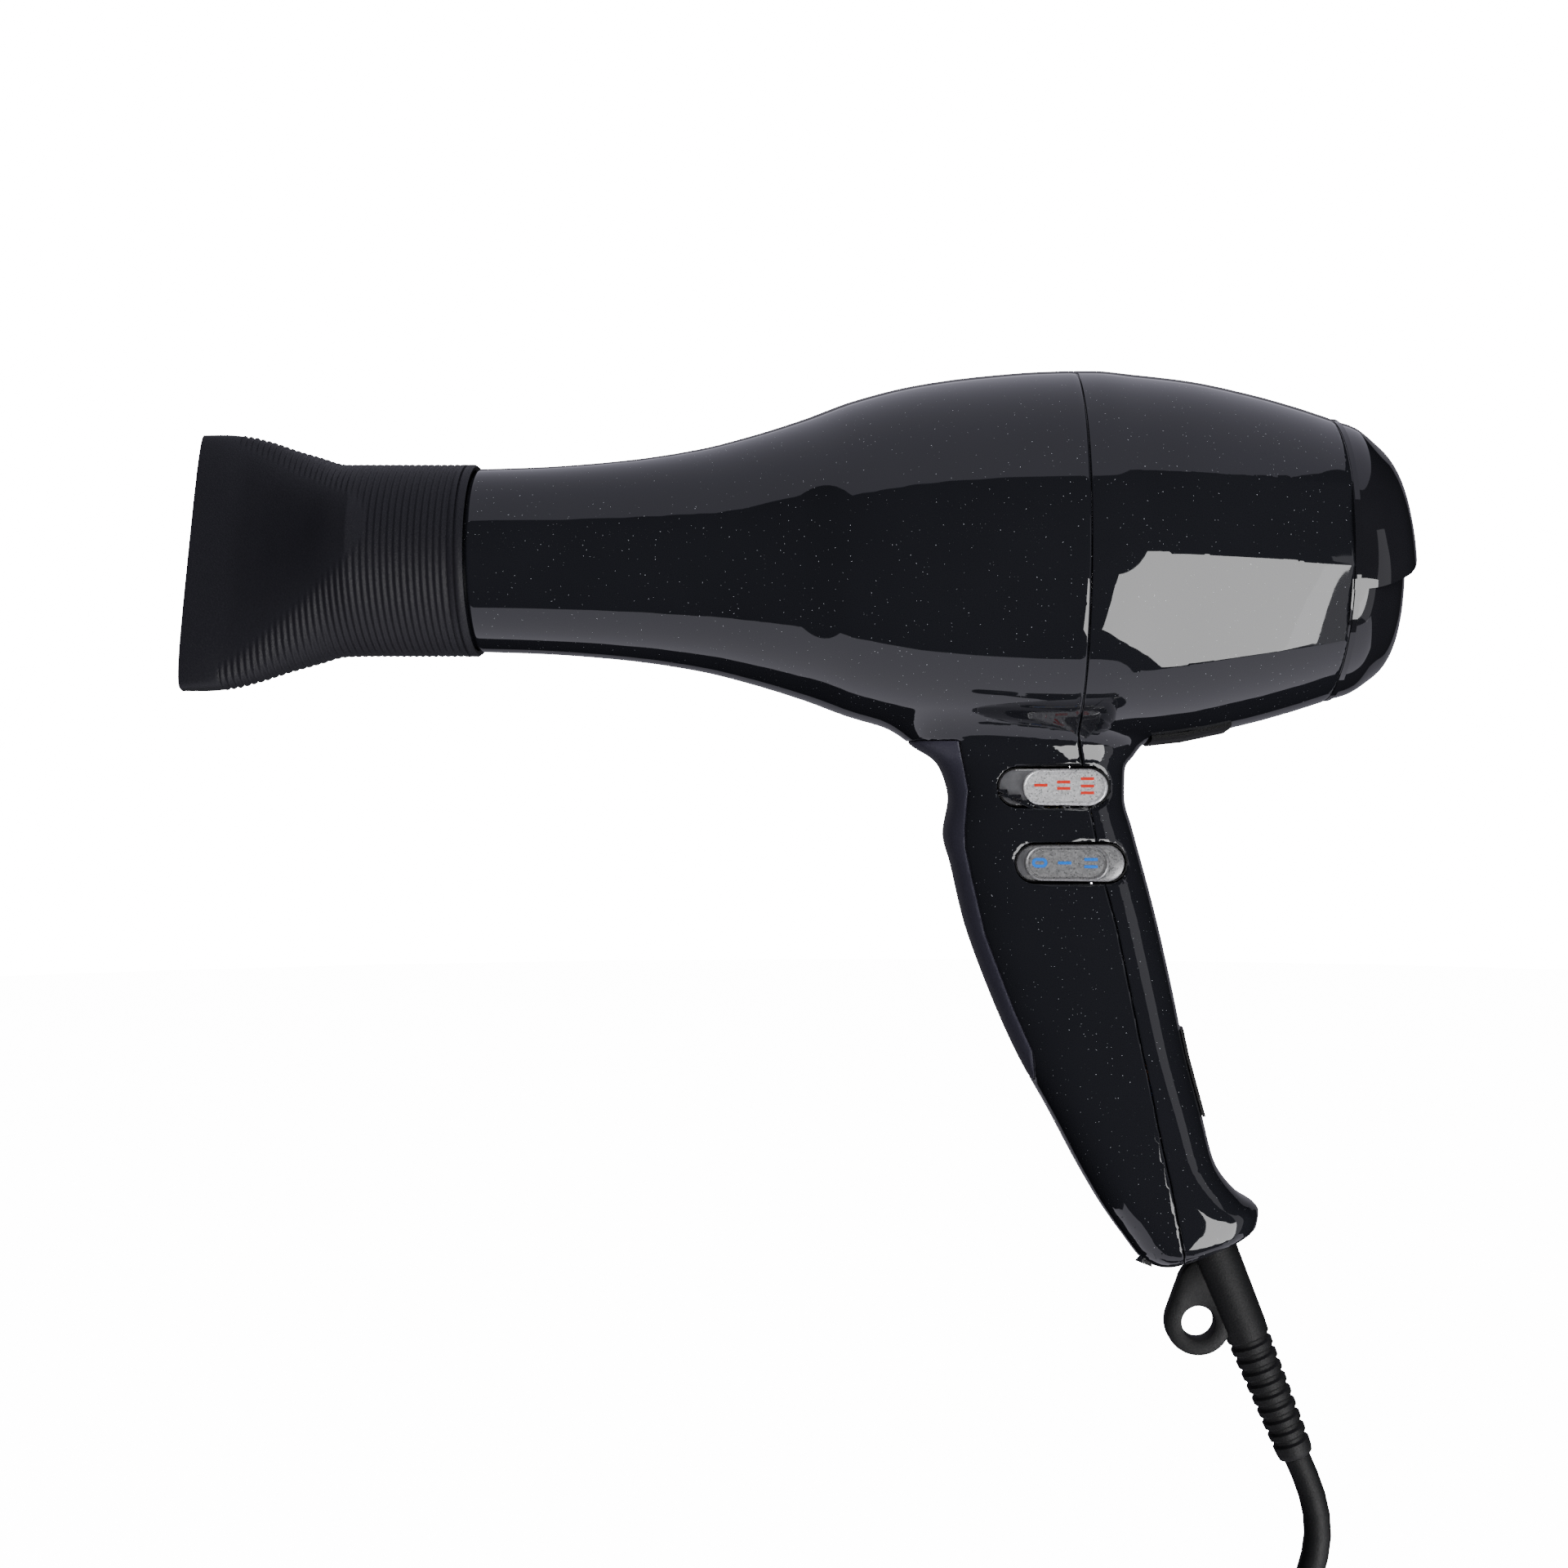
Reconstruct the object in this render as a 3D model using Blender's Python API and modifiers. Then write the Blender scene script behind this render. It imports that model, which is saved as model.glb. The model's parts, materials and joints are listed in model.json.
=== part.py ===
"""Hand-held hair dryer with a turning concentrator nozzle, built from its separate pieces.

Frame: +X runs to the rear along the barrel, +Z is up, and the origin is the middle of the
hand grip, straight below the seam between the front and the rear housing.
All lengths are metres and all angles are radians.
"""
import math

import bmesh
import bpy
from mathutils import Matrix, Vector

# ---------------------------------------------------------------- driving dimensions
GAP = 0.0003                 # clearance between pieces that touch
AXIS_Z = 0.110               # barrel axis above the middle of the grip

BODY_R = 0.0480              # largest radius, just behind the seam
MOUTH_R = 0.0234             # barrel radius at its shoulder in front
BARREL_LENGTH = 0.1514       # shoulder to seam
REAR_LENGTH = 0.0645         # seam to the rear cap
REAR_R = 0.0363              # radius where the rear cap begins
WALL = 0.0024                # housing wall
STUB_LENGTH = 0.0200         # barrel spigot that carries the nozzle
STUB_R = MOUTH_R - 0.0012

HANDLE_DROP = 0.1810         # barrel axis down to the foot
HANDLE_DEPTH = 0.0485        # front to back at the finger point
HANDLE_HALF = 0.0176         # half of the handle's width
GRIP_SKIN = 0.0011           # soft strip on the front of the grip

CAP_LENGTH = 0.0172          # rear cap
CAP_BACK_R = 0.0160          # its flat back
CAP_WALL = 0.0020
CAP_SKIRT = 0.0050
SCREEN_T = 0.0006

NOZZLE_GAP = 0.0025          # bare barrel between shoulder and nozzle
NOZZLE_COLLAR = 0.0270       # length of the round collar
NOZZLE_REACH = 0.0446        # collar to mouth
NOZZLE_WALL = 0.0018
NOZZLE_FIT = 0.0006           # clearance of the collar on the spigot
NOZZLE_COLLAR_R = STUB_R + NOZZLE_FIT + NOZZLE_WALL
MOUTH_HALF_WIDTH = 0.0353    # flat mouth of the nozzle
MOUTH_HALF_HEIGHT = 0.0052
NOZZLE_TURN = math.radians(-17)

HEAT_TUBE_T = 0.0006
BOARD_T = 0.0008
WIRE_R = 0.0005

MOTOR_R = 0.0175
MOTOR_LENGTH = 0.0380
MOTOR_FRONT = -0.0080        # front face of the motor case
SHAFT_R = 0.0015
FAN_ROOM = 0.0029            # blade tip to housing wall, with the shroud in between
FAN_R = REAR_R + (BODY_R - REAR_R) * .3 - WALL - FAN_ROOM
FAN_LENGTH = 0.0130
FAN_BLADES = 9
GUIDE_VANES = 5

ROCKER_TILT = math.radians(8)
WINDOW_LENGTH = 0.0288
WINDOW_WIDTH = 0.0104
FRAME_LIP = 0.0004           # rim of the switch frame around the rocker
ROCKER_LENGTH = WINDOW_LENGTH - 2 * FRAME_LIP - 0.0018
ROCKER_WIDTH = WINDOW_WIDTH - 2 * FRAME_LIP - 4 * GAP

CORD_R = 0.0035
BOOT_R = 0.0062
BOOT_LENGTH = 0.0600
BOOT_TILT = math.radians(22)
LOOP_HOLE_R = 0.0042
LOOP_WIDTH = 0.0170
LOOP_TAB = 0.0260
COIL_R = 0.0420              # middle of the coil's turns
COIL_DEEP = 0.0098           # half of the bundle of ten turns, across the coil
COIL_WIDE = 0.0143           # and along its axis
TIE_T = 0.0012

SIDES = 30                   # facets around the housings
INNER_SIDES = 24             # and around the round pieces inside

# ---------------------------------------------------------------- shapes
# Barrel: share of the way from shoulder to seam, share of the way from MOUTH_R to BODY_R.
BARREL_SHAPE = ((0, 0), (.10, .02), (.24, .086), (.37, .204), (.455, .335), (.545, .506),
                (.631, .694), (.736, .853), (.843, .943), (.948, .990), (1, 1))
# Rear body: share of REAR_LENGTH, share of the way from BODY_R down to REAR_R.
REAR_SHAPE = ((0, 0), (.07, 0), (.24, .085), (.44, .21), (.68, .49), (.875, .78), (1, 1))
# Handle: front and rear edge points of each section, as shares of HANDLE_DEPTH along X and of
# HANDLE_DROP below the barrel axis, then the section's half width as a share of HANDLE_HALF.
ROOT_DOWN = BODY_R * .833 / HANDLE_DROP    # the handle's root lies inside the body
HANDLE_SHAPE = (
    (-.885, ROOT_DOWN, .392, ROOT_DOWN, .97), (-.827, .260, .340, .271, .97), (-.711, .287, .280, .296, .97),
    (-.652, .337, .276, .335, .99), (-.680, .386, .320, .381, 1.0),
    (-.639, .431, .371, .431, 1.0), (-.571, .509, .447, .509, 1.0),
    (-.445, .603, .526, .603, 1.0), (-.293, .696, .598, .696, .98), (-.122, .779, .680, .779, .97),
    (.033, .857, .753, .851, .95), (.155, .912, .882, .895, .94), (.264, .953, .981, .915, .91),
    (.363, .986, .969, .936, .85), (.454, .999, .887, .955, .70))
# Seam between the housings down the handle, in the same shares.
SEAM_SHAPE = ((0, .250), (.068, .350), (.146, .457), (.202, .512), (.272, .603), (.320, .667),
              (.379, .739), (.425, .803), (.482, .871), (.553, .968), (.590, 1.06))
# Edge of the soft grip strip, in the same shares; in front of it everything is strip.
GRIP_SHAPE = ((-.610, .257), (-.586, .291), (-.561, .325), (-.579, .378), (-.575, .407),
              (-.546, .443), (-.472, .527), (-.398, .580), (-.326, .630), (-.229, .688),
              (-.208, .731))
# Rear cap: share of CAP_LENGTH, share of the way from REAR_R down to CAP_BACK_R.
CAP_SHAPE = ((0, 0), (.35, .10), (.62, .28), (.84, .50), (.95, .74), (1, 1))
# Nozzle behind its mouth: share of the way from the collar, then the shares of the way from the
# collar's radius to the mouth's half width and half height, and the roundness of the section.
NOZZLE_SHAPE = ((0, 0, 0, 2.0), (.12, .05, .12, 2.0), (.27, .28, .33, 2.1), (.42, .50, .53, 2.3),
                (.58, .76, .72, 2.6), (.72, .92, .85, 3.0), (.86, .99, .93, 3.4),
                (1, 1, 1, 3.6))
SECTION_POWER = 2.8          # roundness of a handle section


# ---------------------------------------------------------------- small tools
def clear_scene():
    for old in list(bpy.data.objects):
        bpy.data.objects.remove(old, do_unlink=True)
    for name in ("hair_dryer", "cutters"):
        kept = bpy.data.collections.get(name)
        if kept:
            bpy.data.collections.remove(kept)
        bpy.context.scene.collection.children.link(bpy.data.collections.new(name))


def material(name, color, roughness, metallic=0.0):
    made = bpy.data.materials.new(name)
    made.use_nodes = True
    shader = made.node_tree.nodes["Principled BSDF"]
    shader.inputs["Base Color"].default_value = (*color, 1)
    shader.inputs["Roughness"].default_value = roughness
    shader.inputs["Metallic"].default_value = metallic
    return made


def add(name, mesh, look=None):
    """A new object: a piece with its own material, or a hidden cutter."""
    body = bpy.data.objects.new(name, mesh)
    if look:
        mesh.materials.append(material(name, *look))
        bpy.data.collections["hair_dryer"].objects.link(body)
    else:
        bpy.data.collections["cutters"].objects.link(body)
        body.hide_render = True
        body.display_type = "WIRE"
    return body


def from_bmesh(name, form, look=None, smooth=True):
    mesh = bpy.data.meshes.new(name)
    bmesh.ops.recalc_face_normals(form, faces=form.faces)
    form.to_mesh(mesh)
    form.free()
    if smooth:
        mesh.shade_smooth()
        mesh.set_sharp_from_angle(angle=math.radians(35))
    return add(name, mesh, look)


def boolean(body, operation, *others):
    for other in others:
        step = body.modifiers.new(operation.lower(), "BOOLEAN")
        step.operation = operation
        step.solver = "EXACT"
        step.object = other


def cut(body, *others):
    boolean(body, "DIFFERENCE", *others)


def join(body, *others):
    boolean(body, "UNION", *others)


def keep(body, *others):
    boolean(body, "INTERSECT", *others)


def turned(name, profile, look=None, sides=SIDES, at=(0, 0, AXIS_Z), closed=True):
    """A profile of (x, radius) points turned about the X axis through `at`."""
    mesh = bpy.data.meshes.new(name)
    edges = [(i, i + 1) for i in range(len(profile) - 1)]
    if closed:
        edges.append((len(profile) - 1, 0))
    mesh.from_pydata([(r, 0, x) for x, r in profile], edges, [])
    body = add(name, mesh, look)
    screw = body.modifiers.new("turn", "SCREW")
    screw.steps = screw.render_steps = sides
    screw.use_merge_vertices = True
    screw.merge_threshold = 0.00001
    screw.use_smooth_shade = True
    body.location = at
    body.rotation_euler = (0, math.radians(90), 0)
    return body


def ring(name, x0, x1, r_in, r_out, look=None, sides=SIDES, at=(0, 0, AXIS_Z)):
    return turned(name, [(x1, r_out), (x0, r_out), (x0, r_in), (x1, r_in)], look, sides, at)


def disc(name, x0, x1, r, look=None, sides=SIDES, at=(0, 0, AXIS_Z)):
    profile = [(x1, 0), (x1, r), (x0, r), (x0, 0)]
    return turned(name, profile, look, sides, at, closed=False)


def box(name, size, at, look=None, turn=(0, 0, 0), bevel=0.0):
    form = bmesh.new()
    bmesh.ops.create_cube(form, size=1, matrix=Matrix.Diagonal((*size, 1)))
    body = from_bmesh(name, form, look, smooth=False)
    body.location = at
    body.rotation_euler = turn
    if bevel:
        edge = body.modifiers.new("bevel", "BEVEL")
        edge.width = bevel
        edge.segments = 2
    return body


def rod(name, r0, r1, start, end, look=None, sides=20):
    """A cylinder or cone between two points."""
    start, end = Vector(start), Vector(end)
    way = end - start
    form = bmesh.new()
    bmesh.ops.create_cone(form, cap_ends=True, segments=sides, radius1=r0, radius2=r1,
                          depth=way.length)
    body = from_bmesh(name, form, look)
    body.location = (start + end) / 2
    body.rotation_euler = way.to_track_quat("Z", "Y").to_euler()
    return body


def plate(name, outline, thickness, look=None, at=(0, 0, 0), turn=(0, 0, 0)):
    """A flat outline of (x, z) points, as thick along Y."""
    curve = bpy.data.curves.new(name, "CURVE")
    curve.dimensions = "2D"
    curve.fill_mode = "BOTH"
    curve.extrude = thickness / 2
    line = curve.splines.new("POLY")
    line.points.add(len(outline) - 1)
    for point, (x, z) in zip(line.points, outline):
        point.co = (x, z, 0, 1)
    line.use_cyclic_u = True
    body = as_mesh(name, curve, look)
    body.data.transform(Matrix.Rotation(math.radians(90), 4, "X"))
    body.location = at
    body.rotation_euler = turn
    return body


def as_mesh(name, curve, look=None):
    """The curve as a closed mesh, with its caps welded on."""
    drawn = bpy.data.objects.new("curve", curve)
    bpy.context.scene.collection.objects.link(drawn)
    seen = drawn.evaluated_get(bpy.context.evaluated_depsgraph_get())
    form = bmesh.new()
    form.from_mesh(bpy.data.meshes.new_from_object(seen))
    bpy.data.objects.remove(drawn)
    bmesh.ops.remove_doubles(form, verts=form.verts, dist=0.00001)
    return from_bmesh(name, form, look)


def tube(name, points, radius, look):
    curve = bpy.data.curves.new(name, "CURVE")
    curve.dimensions = "3D"
    curve.bevel_depth = radius
    curve.bevel_resolution = 2
    curve.use_fill_caps = True
    line = curve.splines.new("POLY")
    line.points.add(len(points) - 1)
    for point, place in zip(line.points, points):
        point.co = (*place, 1)
    return as_mesh(name, curve, look)


def smooth_line(points, spacing):
    """Evenly spaced points on a Catmull-Rom curve through the route's own points."""
    route = [Vector(p) for p in points]
    ends = [2 * route[0] - route[1], *route, 2 * route[-1] - route[-2]]
    fine = []
    for a, b, c, d in zip(ends, ends[1:], ends[2:], ends[3:]):
        for i in range(20):
            t = i / 20
            fine.append(0.5 * (2 * b + (c - a) * t + (2 * a - 5 * b + 4 * c - d) * t * t
                               + (3 * b - a - 3 * c + d) * t ** 3))
    fine.append(route[-1])
    length = sum((q - p).length for p, q in zip(fine, fine[1:]))
    count = max(2, round(length / spacing))
    picked, walked, k = [fine[0]], 0.0, 1
    for p, q in zip(fine, fine[1:]):
        walked += (q - p).length
        if walked >= k * length / count and k < count:
            picked.append(q)
            k += 1
    return [*picked, fine[-1]]


def loft(name, sections, look=None):
    """Skin closed rings of equally many points, with a cap on each end."""
    form = bmesh.new()
    rings = [[form.verts.new(p) for p in section] for section in sections]
    for low, high in zip(rings, rings[1:]):
        for i in range(len(low)):
            j = (i + 1) % len(low)
            form.faces.new((low[i], low[j], high[j], high[i]))
    form.faces.new(rings[0])
    form.faces.new(rings[-1])
    return from_bmesh(name, form, look)


def round_power(angle, power):
    """Point of a superellipse with half axes of 1."""
    c, s = math.cos(angle), math.sin(angle)
    return (math.copysign(abs(c) ** (2 / power), c), math.copysign(abs(s) ** (2 / power), s))


def stadium(length, width, corners=8):
    """Outline of a slot with round ends, as (x, z) points."""
    r = width / 2
    turn = [math.pi * i / corners - math.pi / 2 for i in range(corners + 1)]
    right = [(length / 2 - r + r * math.cos(a), r * math.sin(a)) for a in turn]
    return right + [(-x, -z) for x, z in right]


# ---------------------------------------------------------------- housing surfaces
def barrel_profile(inset):
    """(x, radius) from shoulder to seam."""
    return [(-BARREL_LENGTH * (1 - s), MOUTH_R + (BODY_R - MOUTH_R) * k - inset)
            for s, k in BARREL_SHAPE]


def rear_profile(inset):
    return [(REAR_LENGTH * s, BODY_R + (REAR_R - BODY_R) * k - inset) for s, k in REAR_SHAPE]


def handle_place(across, down):
    """World X and Z of a point given in handle shares."""
    return across * HANDLE_DEPTH, AXIS_Z - down * HANDLE_DROP


def handle_section(row, inset, points=18):
    front_x, front_down, rear_x, rear_down, wide = row
    front = Vector((handle_place(front_x, front_down)[0], 0, handle_place(front_x, front_down)[1]))
    rear = Vector((handle_place(rear_x, rear_down)[0], 0, handle_place(rear_x, rear_down)[1]))
    middle = (front + rear) / 2
    along = (rear - front) / 2
    half = along.length - inset
    along.normalize()
    side = wide * HANDLE_HALF - inset
    section = []
    for i in range(points):
        u, v = round_power(2 * math.pi * i / points, SECTION_POWER)
        section.append(middle + along * half * u + Vector((0, side * v, 0)))
    return section


def handle_solid(name, inset):
    rows = HANDLE_SHAPE
    sections = [handle_section(row, inset) for row in rows]
    if inset:
        floor = sections[-1]
        middle = sum(floor, Vector()) / len(floor)
        lift = (sum(sections[-2], Vector()) / len(floor) - middle).normalized() * inset
        sections[-1] = [p + lift for p in floor]
        sections[-2] = [p + lift * 0.5 for p in sections[-2]]
        sections[0] = [p + Vector((0, 0, inset)) for p in sections[0]]
    return loft(name, sections)


def handle_edges(down):
    """Front and rear X of the handle at a depth below the axis."""
    def edge(shares, downs):
        for (xa, za), (xb, zb) in zip(zip(shares, downs), zip(shares[1:], downs[1:])):
            if za <= down <= zb:
                return xa + (xb - xa) * (down - za) / (zb - za)
        return shares[-1]
    front = edge([r[0] for r in HANDLE_SHAPE], [r[1] for r in HANDLE_SHAPE])
    rear = edge([r[2] for r in HANDLE_SHAPE], [r[3] for r in HANDLE_SHAPE])
    return front * HANDLE_DEPTH, rear * HANDLE_DEPTH


def seam_x(down):
    for (xa, za), (xb, zb) in zip(SEAM_SHAPE, SEAM_SHAPE[1:]):
        if za <= down <= zb:
            return (xa + (xb - xa) * (down - za) / (zb - za)) * HANDLE_DEPTH
    return 0.0


def seam_block(name, side, shift):
    """Everything in front of the seam (side -1) or behind it (side +1)."""
    line = [handle_place(*p) for p in SEAM_SHAPE]
    line = [(x + shift, z) for x, z in line]
    far = side * (BARREL_LENGTH + STUB_LENGTH + BODY_R)
    top = AXIS_Z + BODY_R * 1.5
    outline = [(shift, top), *line, (far, line[-1][1]), (far, top)]
    return plate(name, outline, 4 * BODY_R)


# ---------------------------------------------------------------- places tied to the housings
SEAM_GAP = GAP / 2
STUB_IN = STUB_R - WALL * 0.8
MOUTH_X = -BARREL_LENGTH - STUB_LENGTH
HEATER_REAR = -0.41 * BARREL_LENGTH
BEARING_R = 0.0045
UP_WINDOW = (-.120, .321)    # centres of the switch windows, in handle shares
LOW_WINDOW = (-.029, .4254)
SWITCH_FACE = -HANDLE_HALF + 0.0024
SWITCH_DEPTH = 0.0112
SCREW_DOWNS = (.5636, .818)
BOOT_TOP = (.732, .962)      # where the boot leaves the foot, in handle shares

# colour, roughness, metallic
GLOSS_BLACK = ((.018, .018, .024), .12)
MATT_BLACK = ((.020, .020, .024), .55)
RUBBER = ((.022, .022, .025), .75)
SILVER = ((.58, .58, .60), .28, .85)
MICA = ((.55, .43, .26), .55)
STEEL = ((.60, .60, .62), .30, 1.0)
COPPER = ((.72, .40, .22), .35, 1.0)
CERAMIC = ((.82, .80, .74), .60)


def cross(at):
    x, z = handle_place(*at)
    return x, z


def window_block(name, at):
    x, z = cross(at)
    inner, outer = SWITCH_FACE + SWITCH_DEPTH + GAP, -1.5 * HANDLE_HALF
    return plate(name, stadium(WINDOW_LENGTH, WINDOW_WIDTH), inner - outer,
                 at=(x, (inner + outer) / 2, z))


def boot_line():
    """Point where the boot leaves the foot, and its direction."""
    x, z = cross(BOOT_TOP)
    return Vector((x, 0, z)), Vector((math.sin(BOOT_TILT), 0, -math.cos(BOOT_TILT)))


def screw_axis(down):
    """Front wall, seam and rear wall along one housing screw, and its height."""
    front, rear = handle_edges(down)
    return front, seam_x(down), rear, AXIS_Z - down * HANDLE_DROP


# ---------------------------------------------------------------- housings
def make_front_housing():
    past = WALL * 3
    outer = [(past, 0), (past, BODY_R), *reversed(barrel_profile(0)), (-BARREL_LENGTH, STUB_R),
             (MOUTH_X, STUB_R), (MOUTH_X, 0)]
    housing = turned("front_housing", outer, GLOSS_BLACK, closed=False)
    hollow = [(past * 2, 0), (past * 2, BODY_R - WALL), *reversed(barrel_profile(WALL)[::2]),
              (-BARREL_LENGTH, STUB_IN), (MOUTH_X - WALL, STUB_IN), (MOUTH_X - WALL, 0)]
    join(housing, handle_solid("front_handle", 0))
    cut(housing, turned("front_hollow", hollow, closed=False), handle_solid("front_grip_hollow", WALL))
    for n, down in enumerate(SCREW_DOWNS):
        front, seam, _, z = screw_axis(down)
        post = rod(f"front_post_{n}", .0034, .0034, (front - WALL, 0, z), (seam + WALL, 0, z))
        keep(post, handle_solid(f"front_post_room_{n}", WALL / 2))
        pilot = rod(f"pilot_{n}", .0013, .0013, (seam - .0125, 0, z), (seam + WALL * 2, 0, z))
        join(housing, post)
        cut(housing, pilot)
    cut(housing, seam_block("rear_side", 1, -SEAM_GAP), grip_block("grip_recess", GAP, GRIP_SKIN + GAP))
    cut_windows(housing, "front")


def cut_windows(housing, side):
    cut(housing, window_block(f"{side}_up_window", UP_WINDOW),
        window_block(f"{side}_low_window", LOW_WINDOW))
    start, way = boot_line()
    cut(housing, rod(f"{side}_boot_hole", BOOT_R + GAP, BOOT_R + GAP,
                     start - way * WALL * 2.2, start + way * WALL * 4, sides=24))


def make_rear_housing():
    past = -WALL * 3
    outer = [(REAR_LENGTH, 0), *reversed(rear_profile(0)), (past, BODY_R), (past, 0)]
    hollow = [(REAR_LENGTH + WALL, 0), (REAR_LENGTH + WALL, REAR_R - WALL),
              *reversed(rear_profile(WALL)[::2]), (past * 2, BODY_R - WALL), (past * 2, 0)]
    housing = turned("rear_housing", outer, GLOSS_BLACK, closed=False)
    join(housing, handle_solid("rear_handle", 0))
    cut(housing, turned("rear_hollow", hollow, closed=False), handle_solid("rear_grip_hollow", WALL))
    for n, down in enumerate(SCREW_DOWNS):
        _, seam, rear, z = screw_axis(down)
        post = rod(f"rear_post_{n}", .0042, .0042, (seam - WALL, 0, z), (rear + WALL, 0, z))
        keep(post, handle_solid(f"rear_post_room_{n}", WALL / 2))
        join(housing, post)
        cut(housing, rod(f"screw_way_{n}", .0014, .0014, (seam - WALL * 2, 0, z), (rear, 0, z)),
            rod(f"screw_sink_{n}", .0031, .0031, (seam + .0035, 0, z), (rear + WALL, 0, z)))
    cut(housing, seam_block("front_side", -1, SEAM_GAP))
    cut_windows(housing, "rear")


def grip_block(name, grow, inset):
    """The space of the grip strip: everything in front of its edge and outside the inset handle."""
    edge = [cross(p) for p in GRIP_SHAPE]
    edge = [(x + grow, z) for x, z in edge]
    edge[0] = (edge[0][0], edge[0][1] + grow)
    edge[-1] = (edge[-1][0], edge[-1][1] - grow)
    far = -1.4 * HANDLE_DEPTH
    block = plate(name, [*edge, (far, edge[-1][1]), (far, edge[0][1])], 3 * HANDLE_HALF)
    cut(block, handle_solid(name + "_core", inset))
    return block


def make_grip_strip():
    edge = [cross(p) for p in GRIP_SHAPE]
    far = -1.4 * HANDLE_DEPTH
    outline = [*edge, (far, edge[-1][1]), (far, edge[0][1])]
    strip = plate("grip_strip", outline, 3 * HANDLE_HALF, ((.055, .052, .065), .42))
    keep(strip, handle_solid("grip_outside", 0))
    cut(strip, handle_solid("grip_inside", GRIP_SKIN))


def make_screws():
    for n, down in enumerate(SCREW_DOWNS):
        _, seam, _, z = screw_axis(down)
        head = seam + .0035 + GAP
        profile = [(head + .0018, 0), (head + .0018, .0026), (head, .0026), (head, .0010),
                   (seam - .0110, .0010), (seam - .0118, 0)]
        turned(f"housing_screw_{n + 1}", profile, STEEL, sides=16, at=(0, 0, z), closed=False)


def make_plates():
    """Slim insert under the rear body and the rating plate on the back of the handle."""
    lift, thick = GAP, .0008
    top = [(x, r + lift) for x, r in rear_profile(0)]
    sleeve = [(x, r + thick) for x, r in reversed(top)] + top
    insert = turned("underside_insert", sleeve, MATT_BLACK)
    keep(insert, box("insert_reach", (.0200, .0240, BODY_R), (.0292, 0, AXIS_Z - BODY_R)))
    _, rear = handle_edges(.75)
    z = AXIS_Z - .722 * HANDLE_DROP
    rating = box("rating_plate", (.020, .0150, .0220), (rear, 0, z), MATT_BLACK)
    keep(rating, handle_solid("plate_outside", -lift - thick))
    cut(rating, handle_solid("plate_inside", -lift))


# ---------------------------------------------------------------- rear cap and filter
def cap_profile(inset):
    return [(REAR_LENGTH + GAP + (CAP_LENGTH - GAP) * s - (inset if s > .9 else inset * s),
             REAR_R + (CAP_BACK_R - REAR_R) * k - inset * (1 - .4 * s)) for s, k in CAP_SHAPE]


def swirl(name, start, look=None):
    """A curved slot that winds outwards over a third of a turn."""
    inner, outer = [], []
    for i in range(9):
        t = i / 8
        angle = start + t * math.radians(105)
        r = CAP_BACK_R * .62 + (REAR_R * .80 - CAP_BACK_R * .62) * t
        w = .0012 + .0012 * math.sin(math.pi * t)
        inner.append(((r - w) * math.cos(angle), (r - w) * math.sin(angle)))
        outer.append(((r + w) * math.cos(angle), (r + w) * math.sin(angle)))
    depth = 3 * CAP_LENGTH
    x = REAR_LENGTH + CAP_LENGTH * .35 + depth / 2
    return plate(name, inner + outer[::-1], depth, look, (x, 0, AXIS_Z), (0, 0, math.radians(90)))


def make_rear_cap():
    outside, inside = cap_profile(0), cap_profile(CAP_WALL)
    back, floor = outside[-1][0], inside[-1][0]
    skirt_out, skirt_in = REAR_R - WALL - GAP, REAR_R - WALL - GAP - .0016
    profile = [(back, 0), *reversed(outside), (REAR_LENGTH + GAP, skirt_out),
               (REAR_LENGTH - CAP_SKIRT, skirt_out), (REAR_LENGTH - CAP_SKIRT, skirt_in),
               (REAR_LENGTH + GAP, skirt_in), *inside[1:], (floor, 0)]
    cap = turned("rear_cap", profile, GLOSS_BLACK, closed=False)
    cut(cap, *(swirl(f"swirl_{i}", math.radians(120 * i - 17)) for i in range(3)))
    r = skirt_in - GAP
    x = REAR_LENGTH - CAP_SKIRT
    ring("filter_frame", x, x + .0012, r - .0030, r, MATT_BLACK, INNER_SIDES)
    disc("filter_mesh", x + .0012 + GAP, x + .0012 + GAP + SCREEN_T, r, STEEL, INNER_SIDES)


# ---------------------------------------------------------------- nozzle
def nozzle_sections(inset):
    rear = -BARREL_LENGTH - NOZZLE_GAP
    neck = rear - NOZZLE_COLLAR
    rings = [(rear, NOZZLE_COLLAR_R, NOZZLE_COLLAR_R, 2.0)]
    for s, wide, high, power in NOZZLE_SHAPE:
        rings.append((neck - NOZZLE_REACH * s,
                      NOZZLE_COLLAR_R + (MOUTH_HALF_WIDTH - NOZZLE_COLLAR_R) * wide,
                      NOZZLE_COLLAR_R + (MOUTH_HALF_HEIGHT - NOZZLE_COLLAR_R) * high, power))
    if inset:
        first, last = rings[0], rings[-1]
        rings[0] = (first[0] + WALL, *first[1:])
        rings[-1] = (last[0] - WALL, *last[1:])
    sections = []
    for x, wide, high, power in rings:
        section = []
        for i in range(SIDES):
            u, v = round_power(2 * math.pi * i / SIDES, power)
            section.append(Vector((x, (high - inset) * v, (wide - inset) * u)))
        sections.append(section)
    return sections


def make_nozzle():
    nozzle = loft("nozzle", nozzle_sections(0), ((.020, .020, .026), .50))
    duct = loft("nozzle_duct", nozzle_sections(NOZZLE_WALL))
    for body in (nozzle, duct):
        body.location = (0, 0, AXIS_Z)
        body.rotation_euler = (NOZZLE_TURN, 0, 0)
    cut(nozzle, duct)


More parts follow.
